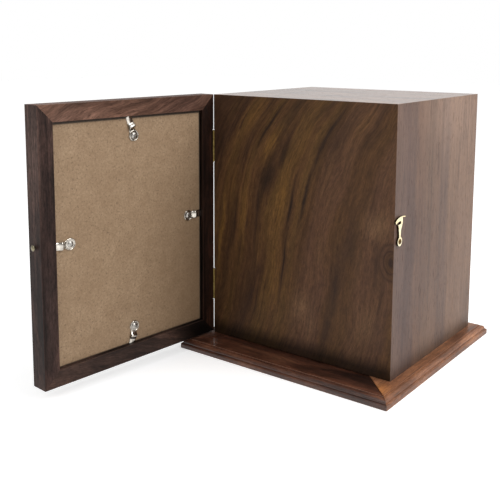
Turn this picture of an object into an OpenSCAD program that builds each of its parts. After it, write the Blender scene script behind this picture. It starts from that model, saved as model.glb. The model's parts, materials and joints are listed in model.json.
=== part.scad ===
// Memorial chest with a hinged picture-frame door, on a moulded plinth. Units: millimetres.
// Origin: centre of the plinth's underside. +Z up, -Y is the front, +X is the latch side.

/* [Chest] */
// Outside width of the chest
chest_w = 242; // [200:1:280]
// Outside depth of the chest
chest_d = 215; // [160:1:240]
// Height of the chest above the plinth
chest_h = 295; // [240:1:330]
// Thickness of the chest's boards
wall_t = 12; // [10:0.5:15]

/* [Plinth] */
// Thickness of the plinth
plinth_t = 12; // [12:0.5:16]
// How far the plinth stands out at the sides and the back
plinth_overhang = 18; // [14:1:24]
// How far the plinth stands out in front, under the closed door
plinth_front_overhang = 42; // [38:1:50]
// Width of each plinth moulding
plinth_board_w = 54; // [50:1:60]
// How much thinner the front moulding is, which leaves a slot under the front panel
front_drop = 1; // [0:0.1:1.2]
// Thickness of the screwed panel under the chest
bottom_panel_t = 6; // [4:0.5:7]
// Width of the shelf that the bottom panel is screwed to
bottom_shelf_w = 10; // [8:0.5:12]

/* [Door frame] */
// Thickness of the door
door_t = 22.5; // [21.5:0.5:28]
// Gap between the closed door and the chest
door_gap = 0.3; // [0.3:0.1:1]
// Gap between the door and the plinth
door_under_gap = 2; // [1:0.5:4]
// Opening angle of the door at rest
door_angle = 95.5; // [0:0.5:180]
// Width of the frame's rails and stiles, seen from the back
rail_w = 18; // [16:0.5:22]
// Lip in front of the glass
sight_lip = 6; // [4:0.5:8]
// Depth of the backing board below the back of the frame
board_recess = 5; // [4.5:0.5:6]

/* [Glazing] */
// Thickness of the backing board
board_t = 3; // [2.5:0.5:3.5]
// Thickness of the blank photo card
card_t = 0.5; // [0.3:0.1:0.8]
// Thickness of the glass
glass_t = 2; // [1.5:0.5:2.5]
// Gap around the glass, the card and the board
pane_gap = 0.6; // [0.3:0.1:1]

/* [Turn clips] */
// Length of a clip, from its rivet to its tip
clip_reach = 23.5; // [22:0.5:24]
// Width of a clip's tongue
clip_w = 8.2; // [6:0.2:9]
// Thickness of the clip's steel
clip_t = 0.8; // [0.5:0.1:1]
// Radius of a clip's round end
clip_eye_r = 6.2; // [5.5:0.1:7]

/* [Hinges] */
// Length of a hinge
hinge_len = 38; // [30:1:45]
// Distance from the end of the chest to the hinge
hinge_inset = 43; // [30:1:60]
// Width of a hinge leaf
leaf_w = 9; // [8:0.5:11]
// Thickness of a hinge leaf
leaf_t = 0.7; // [0.6:0.05:0.8]
// Radius of the hinge knuckles
knuckle_r = 1.2; // [1.15:0.05:1.3]
// Radius of the hinge pin
hinge_pin_r = 0.6; // [0.5:0.05:0.65]

/* [Latch] */
// Height of the hook's pivot above the plinth
latch_h = 151; // [120:1:180]
// Distance of the hook's pivot behind the front of the chest
hook_setback = 9; // [8.5:0.5:9.5]
// Distance of the latch pin in front of the door's back
latch_pin_v = 11; // [10.5:0.1:11.5]
// Thickness of the hook
hook_t = 2; // [1.5:0.1:2]
// Radius of the hook's eye
hook_eye_r = 4.9; // [4.6:0.1:5.4]

/* [Hidden] */
$fn = 64;
eps = 0.01;

// Plinth
plinth_w = chest_w + 2 * plinth_overhang;
plinth_d = chest_d + plinth_overhang + plinth_front_overhang;
band_h = 4.6;
band_round = 2;
bead_r = 4;
bead_z = 7;
fillet_w = 1.4;
fillet_h = plinth_t - bead_z - bead_r;
bottom_screw_inset = bottom_shelf_w / 2;
bottom_screw_len = bottom_panel_t + 3.5;

// Chest
front_y = -plinth_d / 2 + plinth_front_overhang;
back_y = front_y + chest_d;
side_x = chest_w / 2;
top_z = plinth_t + chest_h;

// Door, drawn flat on its back: X across from the hinge edge, Y up, Z towards its front
door_w = chest_w;
door_h = chest_h - door_under_gap;
door_back_y = front_y - door_gap;
door_z = plinth_t + door_under_gap;
rebate_d = board_recess + board_t + card_t + glass_t;
pane_w = door_w - 2 * rail_w - 2 * pane_gap;
pane_h = door_h - 2 * rail_w - 2 * pane_gap;
kerf_h = 1.6;
kerf_d = 5;
outer_round = 1.5;
front_bead = 8;
front_step = 1.5;
front_fillet = 1;

// Hinges
axis_out = 0.1;
axis_x = -side_x - axis_out;
leaf_room = 0.1;
axis_y = front_y - door_gap / 2;
knuckle_gap = 0.15;
knuckle_len = (hinge_len - 2 * knuckle_gap) / 3;
knuckle_room = 0.2;
hinge_running = 0.06;
lower_hinge_z = plinth_t + hinge_inset + hinge_len / 2;
upper_hinge_z = top_z - hinge_inset - hinge_len / 2;
leaf_screw_pitch = 12;
leaf_screw_y = 5.4;
leaf_screw_r = 0.8;
leaf_screw_head_r = leaf_screw_r + leaf_t;
leaf_screw_len = 7;

// Turn clips: [across from the hinge edge, up from the door's bottom, turn of the tongue]
side_inset = rail_w + 19.5;
top_clip_at = [door_w / 2 - 2.5, door_h - rail_w - 22, -17];
bottom_clip_at = [door_w / 2 + 1, rail_w + 19, 190];
hinge_side_clip_at = [side_inset + 1, 151, 90];
latch_side_clip_at = [door_w - side_inset, 147, -90];
clip_lift = 0.15;
clip_hump = 2.4;
clip_hump_from = 6;
clip_hump_to = 15.2;
clip_rim_r = 0.6;
rivet_r = 1.6;
rivet_running = 0.08;
rivet_head_r = 3.7;
rivet_head_h = 1.5;
rivet_len = 2.4;

// Latch
hook_y = front_y + hook_setback;
hook_z = plinth_t + latch_h;
hook_x = side_x + 0.2;
throat_r = hook_setback + door_gap + latch_pin_v;
hook_screw_r = 1.5;
hook_running = 0.06;
hook_screw_head_r = 3;
hook_screw_head_h = 1.3;
hook_screw_len = 9;
pin_r = 1.4;
pin_neck = 2.4;
pin_head_r = 3.3;
pin_head_h = 1.4;
pin_len = 8;

// Outline of the hook about its pivot, [towards the back, up]: up the back of the stem, over the
// crown to the tip, and down the front of the stem. The throat is cut from it afterwards.
hook_outline = [[1.4, 3], [1.5, 6], [1.7, 10], [2.4, 13.6], [4.2, 16.6], [5.3, 19.6], [5.4, 22.6],
    [5.1, 24.7], [4, 26], [2, 26.4], [-1.5, 26.1], [-5.6, 25.2], [-8.6, 24], [-10.2, 22.7],
    [-10.4, 21.4], [-9.4, 20], [-5, 18], [-3.6, 15.6], [-3.1, 12.5], [-2.5, 9.5], [-2, 6],
    [-1.7, 3]];
throat_room = 0.2;
throat_angle = 35;
tab_at = [3.6, 25.3];
tab_flat = 4;
tab_w = 1.1;
tab_t = 0.9;
tab_r = 5;

// Points along an arc about (cx, cy)
function arc(cx, cy, r, from, to, n = 8) =
    [for (i = [0 : n]) let (a = from + (to - from) * i / n) [cx + r * cos(a), cy + r * sin(a)]];

// Smooth curve through a list of points: value at t between p1 and p2
function spline(p0, p1, p2, p3, t) =
    0.5 * (2 * p1 + (p2 - p0) * t + (2 * p0 - 5 * p1 + 4 * p2 - p3) * t * t
        + (3 * p1 - p0 - 3 * p2 + p3) * t * t * t);

function smooth_line(p, n = 5) = let (last = len(p) - 1)
    concat([for (i = [0 : last - 1], k = [0 : n - 1])
        spline(p[max(i - 1, 0)], p[i], p[i + 1], p[min(i + 2, last)], k / n)], [p[last]]);

function reverse(p) = [for (i = [len(p) - 1 : -1 : 0]) p[i]];

// Section of the plinth, [inwards from the edge, up]: a flat band, a rounded shoulder, a quirk,
// a bead and a small step, then the flat top and the shelf for the bottom panel. The whole top
// lies lower by drop.
function plinth_section(drop) = let (top = plinth_t - drop) concat(
    [[0, 0]],
    arc(band_round, band_h - drop, band_round, 180, 90),
    [[band_round + 0.6, bead_z - 0.1 - drop]],
    arc(band_round + bead_r + 0.2, bead_z - drop, bead_r, 180, 90),
    [[band_round + bead_r + fillet_w, top - fillet_h],
        [band_round + bead_r + fillet_w, top],
        [plinth_board_w, top],
        [plinth_board_w, bottom_panel_t],
        [plinth_board_w - bottom_shelf_w, bottom_panel_t],
        [plinth_board_w - bottom_shelf_w, 0]]);

// Section of the door frame, [inwards from the edge, forward from the back]: rebate with its
// saw kerf for the clips, the lip, a bead and a step on the front, and a rounded outer corner
frame_section = let (lip = rail_w + sight_lip, step_r = lip - front_bead - front_fillet)
    concat(
    [[0, 0], [rail_w, 0], [rail_w, board_recess - kerf_h], [rail_w - kerf_d, board_recess - kerf_h],
        [rail_w - kerf_d, board_recess], [rail_w, board_recess], [rail_w, rebate_d], [lip, rebate_d]],
    [for (p = arc(0, 0, 1, 0, 90)) [lip - front_bead + front_bead * p[0],
        rebate_d + 3 + (door_t - front_step - rebate_d - 3) * p[1]]],
    [[step_r, door_t - front_step], [step_r, door_t]],
    arc(outer_round, door_t - outer_round, outer_round, 90, 180));

// Prism of a section carried along X, with both ends mitred at 45 degrees
module mitred_length(length, section, wide, high) {
    intersection() {
        translate([-length / 2, 0, 0])
            rotate([90, 0, 90])
                linear_extrude(length)
                    polygon(section);
        translate([0, 0, -1])
            linear_extrude(high + 2)
                polygon([[-length / 2, 0], [length / 2, 0], [length / 2 - wide, wide],
                    [wide - length / 2, wide]]);
    }
}

// Board standing on its lower edge, outer face at y = 0, mitred at both sides and the top
module mitred_board(w) {
    intersection() {
        linear_extrude(chest_h)
            polygon([[-w / 2, 0], [w / 2, 0], [w / 2 - wall_t, wall_t], [wall_t - w / 2, wall_t]]);
        translate([-w / 2, 0, 0])
            rotate([90, 0, 90])
                linear_extrude(w)
                    polygon([[0, 0], [wall_t, 0], [wall_t, chest_h - wall_t], [0, chest_h]]);
    }
}

// Countersunk wood screw, head up, top of the head at z = 0, with a straight slot
module wood_screw(r, head_r, length) {
    difference() {
        union() {
            translate([0, 0, -length])
                cylinder(r = r, h = length);
            translate([0, 0, r - head_r])
                cylinder(r1 = r, r2 = head_r, h = head_r - r);
        }
        translate([-head_r, -0.2, -0.3])
            cube([2 * head_r, 0.4, 1]);
    }
}

// Hole that a countersunk screw fills
module screw_hole(r, head_r, length) {
    translate([0, 0, -length])
        cylinder(r = r, h = length + 1);
    translate([0, 0, r - head_r])
        cylinder(r1 = r, r2 = head_r, h = head_r - r);
}

// Low domed cap on a flat face at z = 0
module dome(r, h) {
    ball_r = (r * r + h * h) / (2 * h);
    intersection() {
        translate([0, 0, h - ball_r])
            sphere(r = ball_r);
        cylinder(r = r, h = h + 1);
    }
}

// ---- Plinth ----

module plinth_moulding(length, drop = 0) {
    mitred_length(length, plinth_section(drop), plinth_board_w, plinth_t);
}

module at_bottom_screws() {
    for (x = [-1, 1], y = [-1, 1])
        translate([x * (plinth_w / 2 - plinth_board_w + bottom_screw_inset),
            y * (plinth_d / 2 - plinth_board_w + bottom_screw_inset - 30), 0])
            rotate([180, 0, 0])
                children();
}

module plinth_front() {
    color("#6b4636")
        translate([0, -plinth_d / 2, 0])
            plinth_moulding(plinth_w, front_drop);
}

module plinth_back() {
    color("#6b4636")
        translate([0, plinth_d / 2, 0])
            rotate([0, 0, 180])
                plinth_moulding(plinth_w);
}

module plinth_right() {
    color("#8a6450")
        difference() {
            translate([plinth_w / 2, 0, 0])
                rotate([0, 0, 90])
                    plinth_moulding(plinth_d);
            at_bottom_screws()
                screw_hole(1.3, 2.8, bottom_screw_len);
        }
}

module plinth_left() {
    color("#8a6450")
        difference() {
            translate([-plinth_w / 2, 0, 0])
                rotate([0, 0, -90])
                    plinth_moulding(plinth_d);
            at_bottom_screws()
                screw_hole(1.3, 2.8, bottom_screw_len);
        }
}

module bottom_panel() {
    inset = plinth_board_w - bottom_shelf_w + 0.3;
    color("#5a3d2c")
        difference() {
            translate([inset - plinth_w / 2, inset - plinth_d / 2, 0])
                cube([plinth_w - 2 * inset, plinth_d - 2 * inset, bottom_panel_t]);
            at_bottom_screws()
                screw_hole(1.3, 2.8, bottom_screw_len);
        }
}

module bottom_panel_screws() {
    color("#a98a4a")
        at_bottom_screws()
            translate([0, 0, -0.3])
                wood_screw(1.3, 2.5, bottom_screw_len - 0.3);
}

// ---- Chest ----

module front_panel() {
    color("#4a3424")
        difference() {
            translate([0, front_y, plinth_t])
                mitred_board(chest_w);
            chest_hinge_cuts();
            hook_screw_hole();
        }
}

module back_panel() {
    color("#4a3424")
        translate([0, back_y, plinth_t])
            rotate([0, 0, 180])
                mitred_board(chest_w);
}

module right_panel() {
    color("#7a675c")
        difference() {
            translate([side_x, (front_y + back_y) / 2, plinth_t])
                rotate([0, 0, 90])
                    mitred_board(chest_d);
            hook_screw_hole();
        }
}

// Hole for the hook's screw, which crosses the mitre of the front and right panels
module hook_screw_hole() {
    translate([side_x, hook_y, hook_z])
        rotate([0, -90, 0])
            cylinder(r = hook_screw_r, h = hook_screw_len - 1);
}

module left_panel() {
    color("#7a675c")
        difference() {
            translate([-side_x, (front_y + back_y) / 2, plinth_t])
                rotate([0, 0, -90])
                    mitred_board(chest_d);
            chest_hinge_cuts();
        }
}

// Cuts for the hinges, which cross the mitre of the front and left panels
module chest_hinge_cuts() {
    at_leaf_screws(1)
        cylinder(r = leaf_screw_r, h = 2 * leaf_screw_len, center = true);
    leaf_beds(1);
    knuckle_relief();
}

module top_panel() {
    color("#96867a")
        translate([0, (front_y + back_y) / 2, top_z])
            intersection() {
                rotate([90, 0, 0])
                    linear_extrude(chest_d, center = true)
                        polygon([[-side_x, 0], [side_x, 0], [side_x - wall_t, -wall_t],
                            [wall_t - side_x, -wall_t]]);
                rotate([90, 0, 90])
                    linear_extrude(chest_w, center = true)
                        polygon([[-chest_d / 2, 0], [chest_d / 2, 0], [chest_d / 2 - wall_t, -wall_t],
                            [wall_t - chest_d / 2, -wall_t]]);
            }
}

// ---- Door ----

// Turns a piece of the closed door about the hinge axis to the opening angle
module swung() {
    translate([axis_x, axis_y, 0])
        rotate([0, 0, -door_angle])
            translate([-axis_x, -axis_y, 0])
                children();
}

// Stands the flat-drawn door up and swings it open
module on_door() {
    swung()
        translate([-door_w / 2, door_back_y, door_z])
            rotate([90, 0, 0])
                children();
}

module frame_length(length) {
    mitred_length(length, frame_section, rail_w + sight_lip, door_t);
}

module door_top_rail() {
    color("#6a4c3c")
        on_door()
            translate([door_w / 2, door_h, 0])
                rotate([0, 0, 180])
                    frame_length(door_w);
}

module door_bottom_rail() {
    color("#3a2a26")
        on_door()
            translate([door_w / 2, 0, 0])
                frame_length(door_w);
}

module door_hinge_stile() {
    color("#33221c")
        difference() {
            on_door()
                translate([0, door_h / 2, 0])
                    rotate([0, 0, -90])
                        frame_length(door_h);
            swung() {
                at_leaf_screws(-1)
                    cylinder(r = leaf_screw_r, h = 2 * leaf_screw_len, center = true);
                leaf_beds(-1);
            }
            knuckle_relief();
        }
}

module door_latch_stile() {
    color("#453834")
        difference() {
            on_door()
                translate([door_w, door_h / 2, 0])
                    rotate([0, 0, 90])
                        frame_length(door_h);
            swung()
                at_latch_pin()
                    translate([0, 0, -pin_len])
                        cylinder(r = pin_r, h = pin_len + 1);
        }
}

// A pane that fills the rebate, from depth to depth behind the front
module pane(from, thick) {
    translate([rail_w + pane_gap, rail_w + pane_gap, from])
        cube([pane_w, pane_h, thick]);
}

module glass_pane() {
    color("#c8dcdc", 0.4)
        on_door()
            pane(board_recess + board_t + card_t, glass_t);
}

module photo_card() {
    color("#eeeae0")
        on_door()
            pane(board_recess + board_t, card_t);
}

module backing_board() {
    color("#96806a")
        on_door()
            difference() {
                pane(board_recess, board_t);
                at_rivets()
                    translate([0, 0, -rivet_len])
                        cylinder(r = rivet_r, h = rivet_len + 1);
            }
}

// ---- Turn clips, drawn with the tongue along +Y and the board's face at z = 0 ----

module clip_at(place) {
    translate([place[0], place[1], board_recess])
        rotate([0, 0, place[2]])
            rotate([0, 180, 0])
                children();
}

module at_rivets() {
    for (place = [top_clip_at, bottom_clip_at, hinge_side_clip_at, latch_side_clip_at])
        clip_at(place)
            children();
}

// Height of the tongue's underside, s from the rivet: one hump between two flat ends
function clip_z(s) = clip_lift + clip_hump / 2
    * (1 - cos(360 * min(1, max(0, (s - clip_hump_from) / (clip_hump_to - clip_hump_from)))));

module turn_clip() {
    under = concat([[4, clip_z(0)]],
        [for (i = [0 : 12]) let (s = clip_hump_from + (clip_hump_to - clip_hump_from) * i / 12)
            [s, clip_z(s)]],
        [[clip_reach, clip_z(clip_reach)]]);
    over = [for (p = reverse(under)) [p[0], p[1] + clip_t]];
    difference() {
        union() {
            translate([0, 0, clip_lift])
                cylinder(r = clip_eye_r, h = clip_t);
            translate([0, 0, clip_lift + clip_t])
                rotate_extrude()
                    translate([clip_eye_r - clip_rim_r, 0])
                        circle(r = clip_rim_r);
            translate([-clip_w / 2, 0, 0])
                rotate([90, 0, 90])
                    linear_extrude(clip_w)
                        polygon(concat(under, over));
        }
        cylinder(r = rivet_r + rivet_running, h = 10, center = true);
        cylinder(r = clip_eye_r + 1, h = clip_lift);
    }
}

module top_clip() {
    color("#c9c4bc")
        on_door()
            clip_at(top_clip_at)
                turn_clip();
}

module bottom_clip() {
    color("#c9c4bc")
        on_door()
            clip_at(bottom_clip_at)
                turn_clip();
}

module hinge_side_clip() {
    color("#c9c4bc")
        on_door()
            clip_at(hinge_side_clip_at)
                turn_clip();
}

module latch_side_clip() {
    color("#c9c4bc")
        on_door()
            clip_at(latch_side_clip_at)
                turn_clip();
}

module clip_rivets() {
    color("#b8b2a8")
        on_door()
            at_rivets() {
                translate([0, 0, -rivet_len])
                    cylinder(r = rivet_r, h = rivet_len + clip_lift + clip_t + 0.1 + eps);
                translate([0, 0, clip_lift + clip_t + 0.1])
                    dome(rivet_head_r, rivet_head_h);
            }
}

// ---- Hinges, drawn with the door closed ----

// Places of the leaf screws, heads flush with the leaves; side = 1 on the chest, -1 on the door
module at_leaf_screws(side) {
    for (z = [lower_hinge_z, upper_hinge_z], s = [-1, 1])
        translate([-side_x, axis_y + side * leaf_screw_y, z + s * leaf_screw_pitch])
            rotate([0, -90, 0])
                children();
}

module at_axis(z) {
    translate([axis_x, axis_y, z])
        children();
}

// Hollow along the wood's corners that the knuckles turn in
module knuckle_relief() {
    for (z = [lower_hinge_z, upper_hinge_z])
        at_axis(z)
            cylinder(r = knuckle_r + knuckle_room, h = hinge_len + 2, center = true);
}

// A leaf's plate, flush with the chest's side, made larger all round by room
module leaf_plate(z, side, room = 0) {
    far = axis_y + side * (knuckle_gap + leaf_w / 2);
    translate([-side_x - room, far - leaf_w / 2 - room, z - hinge_len / 2 - room])
        cube([leaf_t + room, leaf_w + 2 * room, hinge_len + 2 * room]);
}

// Shallow beds that the leaves are let into
module leaf_beds(side) {
    for (z = [lower_hinge_z, upper_hinge_z])
        leaf_plate(z, side, leaf_room);
}

module chest_leaf(z) {
    difference() {
        union() {
            leaf_plate(z, 1);
            for (s = [-1, 1])
                at_axis(z + s * (knuckle_len + knuckle_gap))
                    cylinder(r = knuckle_r, h = knuckle_len, center = true);
        }
        at_axis(z) {
            cylinder(r = hinge_pin_r, h = hinge_len + 1, center = true);
            cylinder(r = knuckle_r + knuckle_room, h = knuckle_len + 2 * knuckle_gap, center = true);
        }
        at_leaf_screws(1)
            screw_hole(leaf_screw_r, leaf_screw_head_r, leaf_screw_len);
    }
}

module door_leaf(z) {
    difference() {
        union() {
            leaf_plate(z, -1);
            at_axis(z)
                cylinder(r = knuckle_r, h = knuckle_len, center = true);
        }
        at_axis(z)
            cylinder(r = hinge_pin_r + hinge_running, h = hinge_len + 1, center = true);
        for (s = [-1, 1])
            at_axis(z + s * (knuckle_len + knuckle_gap))
                cylinder(r = knuckle_r + knuckle_room, h = knuckle_len + 2 * knuckle_gap - eps,
                    center = true);
        at_leaf_screws(-1)
            screw_hole(leaf_screw_r, leaf_screw_head_r, leaf_screw_len);
    }
}

module hinge_pin(z) {
    at_axis(z)
        cylinder(r = hinge_pin_r, h = hinge_len + 1, center = true);
}

module upper_hinge_chest_leaf() {
    color("#94824c")
        chest_leaf(upper_hinge_z);
}

module lower_hinge_chest_leaf() {
    color("#94824c")
        chest_leaf(lower_hinge_z);
}

module upper_hinge_door_leaf() {
    color("#94824c")
        swung()
            door_leaf(upper_hinge_z);
}

module lower_hinge_door_leaf() {
    color("#94824c")
        swung()
            door_leaf(lower_hinge_z);
}

module upper_hinge_pin() {
    color("#7d6d3e")
        hinge_pin(upper_hinge_z);
}

module lower_hinge_pin() {
    color("#7d6d3e")
        hinge_pin(lower_hinge_z);
}

module chest_leaf_screws() {
    color("#a98a4a")
        at_leaf_screws(1)
            wood_screw(leaf_screw_r, leaf_screw_head_r, leaf_screw_len);
}

module door_leaf_screws() {
    color("#a98a4a")
        swung()
            at_leaf_screws(-1)
                wood_screw(leaf_screw_r, leaf_screw_head_r, leaf_screw_len);
}

// ---- Latch ----

// Stands a flat drawing [towards the back, up] at the hook's pivot, thickness outwards
module at_hook() {
    translate([hook_x, hook_y, hook_z])
        rotate([90, 0, 90])
            children();
}

module latch_hook() {
    color("#d8bf80")
        at_hook()
            difference() {
                union() {
                    cylinder(r = hook_eye_r, h = hook_t);
                    linear_extrude(hook_t)
                        polygon(smooth_line(hook_outline));
                    finger_tab();
                }
                cylinder(r = hook_screw_r + hook_running, h = 3 * hook_t, center = true);
                throat();
            }
}

// Slot along a circle about the hook's pivot, so that the pin slides in as the hook turns
module throat() {
    slot_r = pin_r + throat_room;
    translate([0, throat_r, -1])
        cylinder(r = slot_r, h = hook_t + 2);
    translate([0, 0, -1])
        linear_extrude(hook_t + 2)
            polygon(concat(arc(0, 0, throat_r + slot_r, 90, 90 + throat_angle),
                arc(0, 0, throat_r - slot_r, 90 + throat_angle, 90)));
}

// Finger tab that curls outwards behind the crown
module finger_tab() {
    translate([tab_at[0], tab_at[1] - tab_w / 2, 0])
        rotate([-90, 0, 0])
            linear_extrude(tab_w)
                polygon(concat([[0, 0]], arc(tab_flat, -tab_r, tab_r, 90, 35),
                    arc(tab_flat, -tab_r, tab_r - tab_t, 35, 90), [[0, -tab_t]]));
}

module latch_hook_screw() {
    color("#8f7440")
        translate([side_x, hook_y, hook_z])
            rotate([0, 90, 0])
                difference() {
                    union() {
                        translate([0, 0, 1 - hook_screw_len])
                            cylinder(r = hook_screw_r, h = hook_screw_len + hook_t);
                        translate([0, 0, hook_x - side_x + hook_t + 0.1])
                            dome(hook_screw_head_r, hook_screw_head_h);
                    }
                    translate([-0.3, -5, hook_x - side_x + hook_t + hook_screw_head_h - 0.6])
                        cube([0.6, 10, 2]);
                }
}

// The latch pin's axis on the closed door's free edge, pointing outwards
module at_latch_pin() {
    translate([side_x, door_back_y - latch_pin_v, hook_z])
        rotate([0, 90, 0])
            children();
}

module latch_pin() {
    color("#9c7c3e")
        swung()
            at_latch_pin() {
                translate([0, 0, -pin_len])
                    cylinder(r = pin_r, h = pin_len + pin_neck + eps);
                translate([0, 0, pin_neck])
                    dome(pin_head_r, pin_head_h);
            }
}

plinth_front();
plinth_right();
plinth_back();
plinth_left();
bottom_panel();
bottom_panel_screws();
front_panel();
right_panel();
back_panel();
left_panel();
top_panel();
door_top_rail();
door_bottom_rail();
door_hinge_stile();
door_latch_stile();
glass_pane();
photo_card();
backing_board();
clip_rivets();
top_clip();
bottom_clip();
hinge_side_clip();
latch_side_clip();
upper_hinge_chest_leaf();
upper_hinge_door_leaf();
upper_hinge_pin();
lower_hinge_chest_leaf();
lower_hinge_door_leaf();
lower_hinge_pin();
chest_leaf_screws();
door_leaf_screws();
latch_hook();
latch_hook_screw();
latch_pin();
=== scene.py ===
# %% [markdown]
# # A keepsake chest with a picture-frame door
#
# The real thing is a small rosewood chest on a moulded plinth. Its door is made like a
# picture frame and stands open to the left, so we look at the back of the frame: a hardboard
# panel held by four nickel turn clips. A brass hook on the right side of the chest keeps the
# door shut.
#
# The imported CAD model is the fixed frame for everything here. We read sizes and joints from
# it, build the dressed pieces around it, and never move a CAD part.

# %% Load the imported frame
import json
import math

import bmesh
import bpy
import numpy as np
from mathutils import Matrix, Vector


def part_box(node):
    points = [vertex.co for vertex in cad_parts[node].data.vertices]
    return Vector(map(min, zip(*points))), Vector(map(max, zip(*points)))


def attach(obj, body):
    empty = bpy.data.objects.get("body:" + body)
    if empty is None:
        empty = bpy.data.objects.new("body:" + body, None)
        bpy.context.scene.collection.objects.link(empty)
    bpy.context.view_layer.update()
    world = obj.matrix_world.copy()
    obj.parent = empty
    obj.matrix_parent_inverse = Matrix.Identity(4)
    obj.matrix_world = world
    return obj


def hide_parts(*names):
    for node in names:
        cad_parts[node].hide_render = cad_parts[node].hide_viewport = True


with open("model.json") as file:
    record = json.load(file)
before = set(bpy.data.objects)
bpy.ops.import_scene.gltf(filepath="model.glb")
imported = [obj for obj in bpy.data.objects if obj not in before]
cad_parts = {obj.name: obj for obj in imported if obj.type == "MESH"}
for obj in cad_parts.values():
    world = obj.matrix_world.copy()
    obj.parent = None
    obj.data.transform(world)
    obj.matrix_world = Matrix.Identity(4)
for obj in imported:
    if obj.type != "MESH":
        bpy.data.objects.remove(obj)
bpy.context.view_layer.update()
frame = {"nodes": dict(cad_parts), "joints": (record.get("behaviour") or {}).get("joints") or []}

# %% [markdown]
# ## Sizes, taken from the frame
#
# A dressed piece has to sit exactly where its CAD node is. So we measure boxes of nodes and
# work every place out from them. Only the small shapes that a box can't tell, such as the
# radius of a bead, are written here, in millimetres times `MM`.

# %% Boxes of the chest and the plinth
MM = 0.001


def span(*nodes):
    """Lowest and highest corner of several CAD nodes together, as two arrays."""
    corners = [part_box(node) for node in nodes]
    return (np.min([low for low, high in corners], axis=0),
            np.max([high for low, high in corners], axis=0))


chest_low, chest_high = span("front_panel", "right_panel", "back_panel", "left_panel")
plinth_low, plinth_high = span("plinth_front", "plinth_right", "plinth_back", "plinth_left")
front_low, front_high = span("plinth_front")
wall = float(np.ptp(span("top_panel"), axis=0)[2])
print("chest", np.round((chest_high - chest_low) / MM, 1), "mm, walls", round(wall / MM, 1), "mm")

# %% [markdown]
# ## The door's own coordinates
#
# The door rests open. Its mouldings are much easier to describe while it is shut: `across`
# from the hinge edge, `up` from its foot and `forward` from its back. The hinge joint tells
# where the axis is and how far open the door stands, so one small function carries shut-door
# points to their resting place.

# %% From the shut door to the open one
joints = {joint["name"]: joint for joint in frame["joints"]}
hinge_axis = np.array(joints["door_swing"]["pos_m"])
door_angle = -math.radians(joints["door_swing"]["range_deg"][0])


def swing(points, angle):
    """Turns points about the upright hinge axis by an angle, seen from above."""
    points = np.asarray(points, float)
    turn = np.array([[math.cos(angle), math.sin(angle), 0],
                     [-math.sin(angle), math.cos(angle), 0],
                     [0, 0, 1]])
    return (points - hinge_axis) @ turn + hinge_axis


def shut_span(*nodes):
    """Lowest and highest corner that door nodes have when the door is shut."""
    points = []
    for node in nodes:
        mesh = frame["nodes"][node].data
        flat = np.empty(len(mesh.vertices) * 3)
        mesh.vertices.foreach_get("co", flat)
        points.append(swing(flat.reshape(-1, 3), door_angle))
    points = np.vstack(points)
    return points.min(axis=0), points.max(axis=0)


door_low, door_high = shut_span("door_top_rail", "door_bottom_rail",
                                "door_hinge_stile", "door_latch_stile")
door_size = door_high - door_low


def door_place(points):
    """Points (across, up, forward) of the door, in their resting place."""
    points = np.asarray(points, float)
    shut = np.stack([door_low[0] + points[..., 0],
                     door_high[1] - points[..., 2],
                     door_low[2] + points[..., 1]], axis=-1)
    return swing(shut, -door_angle)


print("door", np.round(door_size / MM, 1), "mm, open by", round(math.degrees(door_angle), 1))

# %% [markdown]
# ## Surfaces as arrays
#
# Blender could build these pieces by hand with extrusions and bevels. Working them out as
# arrays has two gains: a shape is a formula that can be read, and each vertex can carry facts
# that the materials use. Every surface carries two of them. `grain` is the place of the
# vertex in the plank it was cut from: along the fibres, across them and into the wood.
# `arris` is 1 on a softened edge, where a finish wears thin, and 0 elsewhere.

# %% A surface with grain and arris
class Surface:
    """Points, faces, and the two facts that each point carries."""

    def __init__(self, points, faces, grain=None, arris=None):
        self.points = np.asarray(points, float).reshape(-1, 3)
        self.faces = [list(map(int, face)) for face in faces]
        count = len(self.points)
        self.grain = self.points if grain is None else np.asarray(grain, float).reshape(-1, 3)
        self.arris = np.zeros(count) if arris is None else np.asarray(arris, float).reshape(-1)

    def placed(self, place):
        """The same surface with its points carried elsewhere; the grain goes with it."""
        return Surface(place(self.points), self.faces, self.grain, self.arris)


def joined(*surfaces):
    """Several surfaces as one, each with its faces counted on from the last."""
    starts = np.cumsum([0] + [len(surface.points) for surface in surfaces[:-1]])
    return Surface(np.vstack([surface.points for surface in surfaces]),
                   [[corner + start for corner in face]
                    for surface, start in zip(surfaces, starts) for face in surface.faces],
                   np.vstack([surface.grain for surface in surfaces]),
                   np.hstack([surface.arris for surface in surfaces]))


def cells(rows, columns, closed=False):
    """The four corners of every cell of a grid of points, row by row. A closed grid joins its
    last column to its first."""
    index = np.arange(rows * columns).reshape(rows, columns)
    if closed:
        index = np.hstack([index, index[:, :1]])
    return np.stack([index[:-1, :-1], index[:-1, 1:], index[1:, 1:], index[1:, :-1]],
                    axis=-1).reshape(-1, 4)


print("a grid of 3 by 4 points has", len(cells(3, 4)), "cells")

# %% [markdown]
# A surface becomes a mesh with `from_pydata`, and its two facts become attributes of the mesh.
# Where two parts of a surface meet they have doubled points, so those are merged first, and
# then Blender can tell which side of each face is outside.

# %% From a surface to a Blender object
doubles_within = 0.001 * MM


def new_object(name, data):
    """An object at the origin, unturned, that shows a mesh, a lamp or a camera."""
    made = bpy.data.objects.new(name, data)
    bpy.context.scene.collection.objects.link(made)
    return made


def smoothed(mesh, sharp_above, material):
    """Shades a mesh smooth, but not across edges that turn by more than an angle, and gives it
    its only material."""
    mesh.shade_smooth()
    mesh.set_sharp_from_angle(angle=sharp_above)
    mesh.materials.clear()
    mesh.materials.append(material)


def dress(piece, body, replaced):
    """Lets a piece ride on a body, and hides the CAD nodes it stands for."""
    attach(piece, body)
    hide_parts(*replaced)
    print(f"{piece.name}: {len(piece.data.polygons)} faces, rides on {body}")


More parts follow.
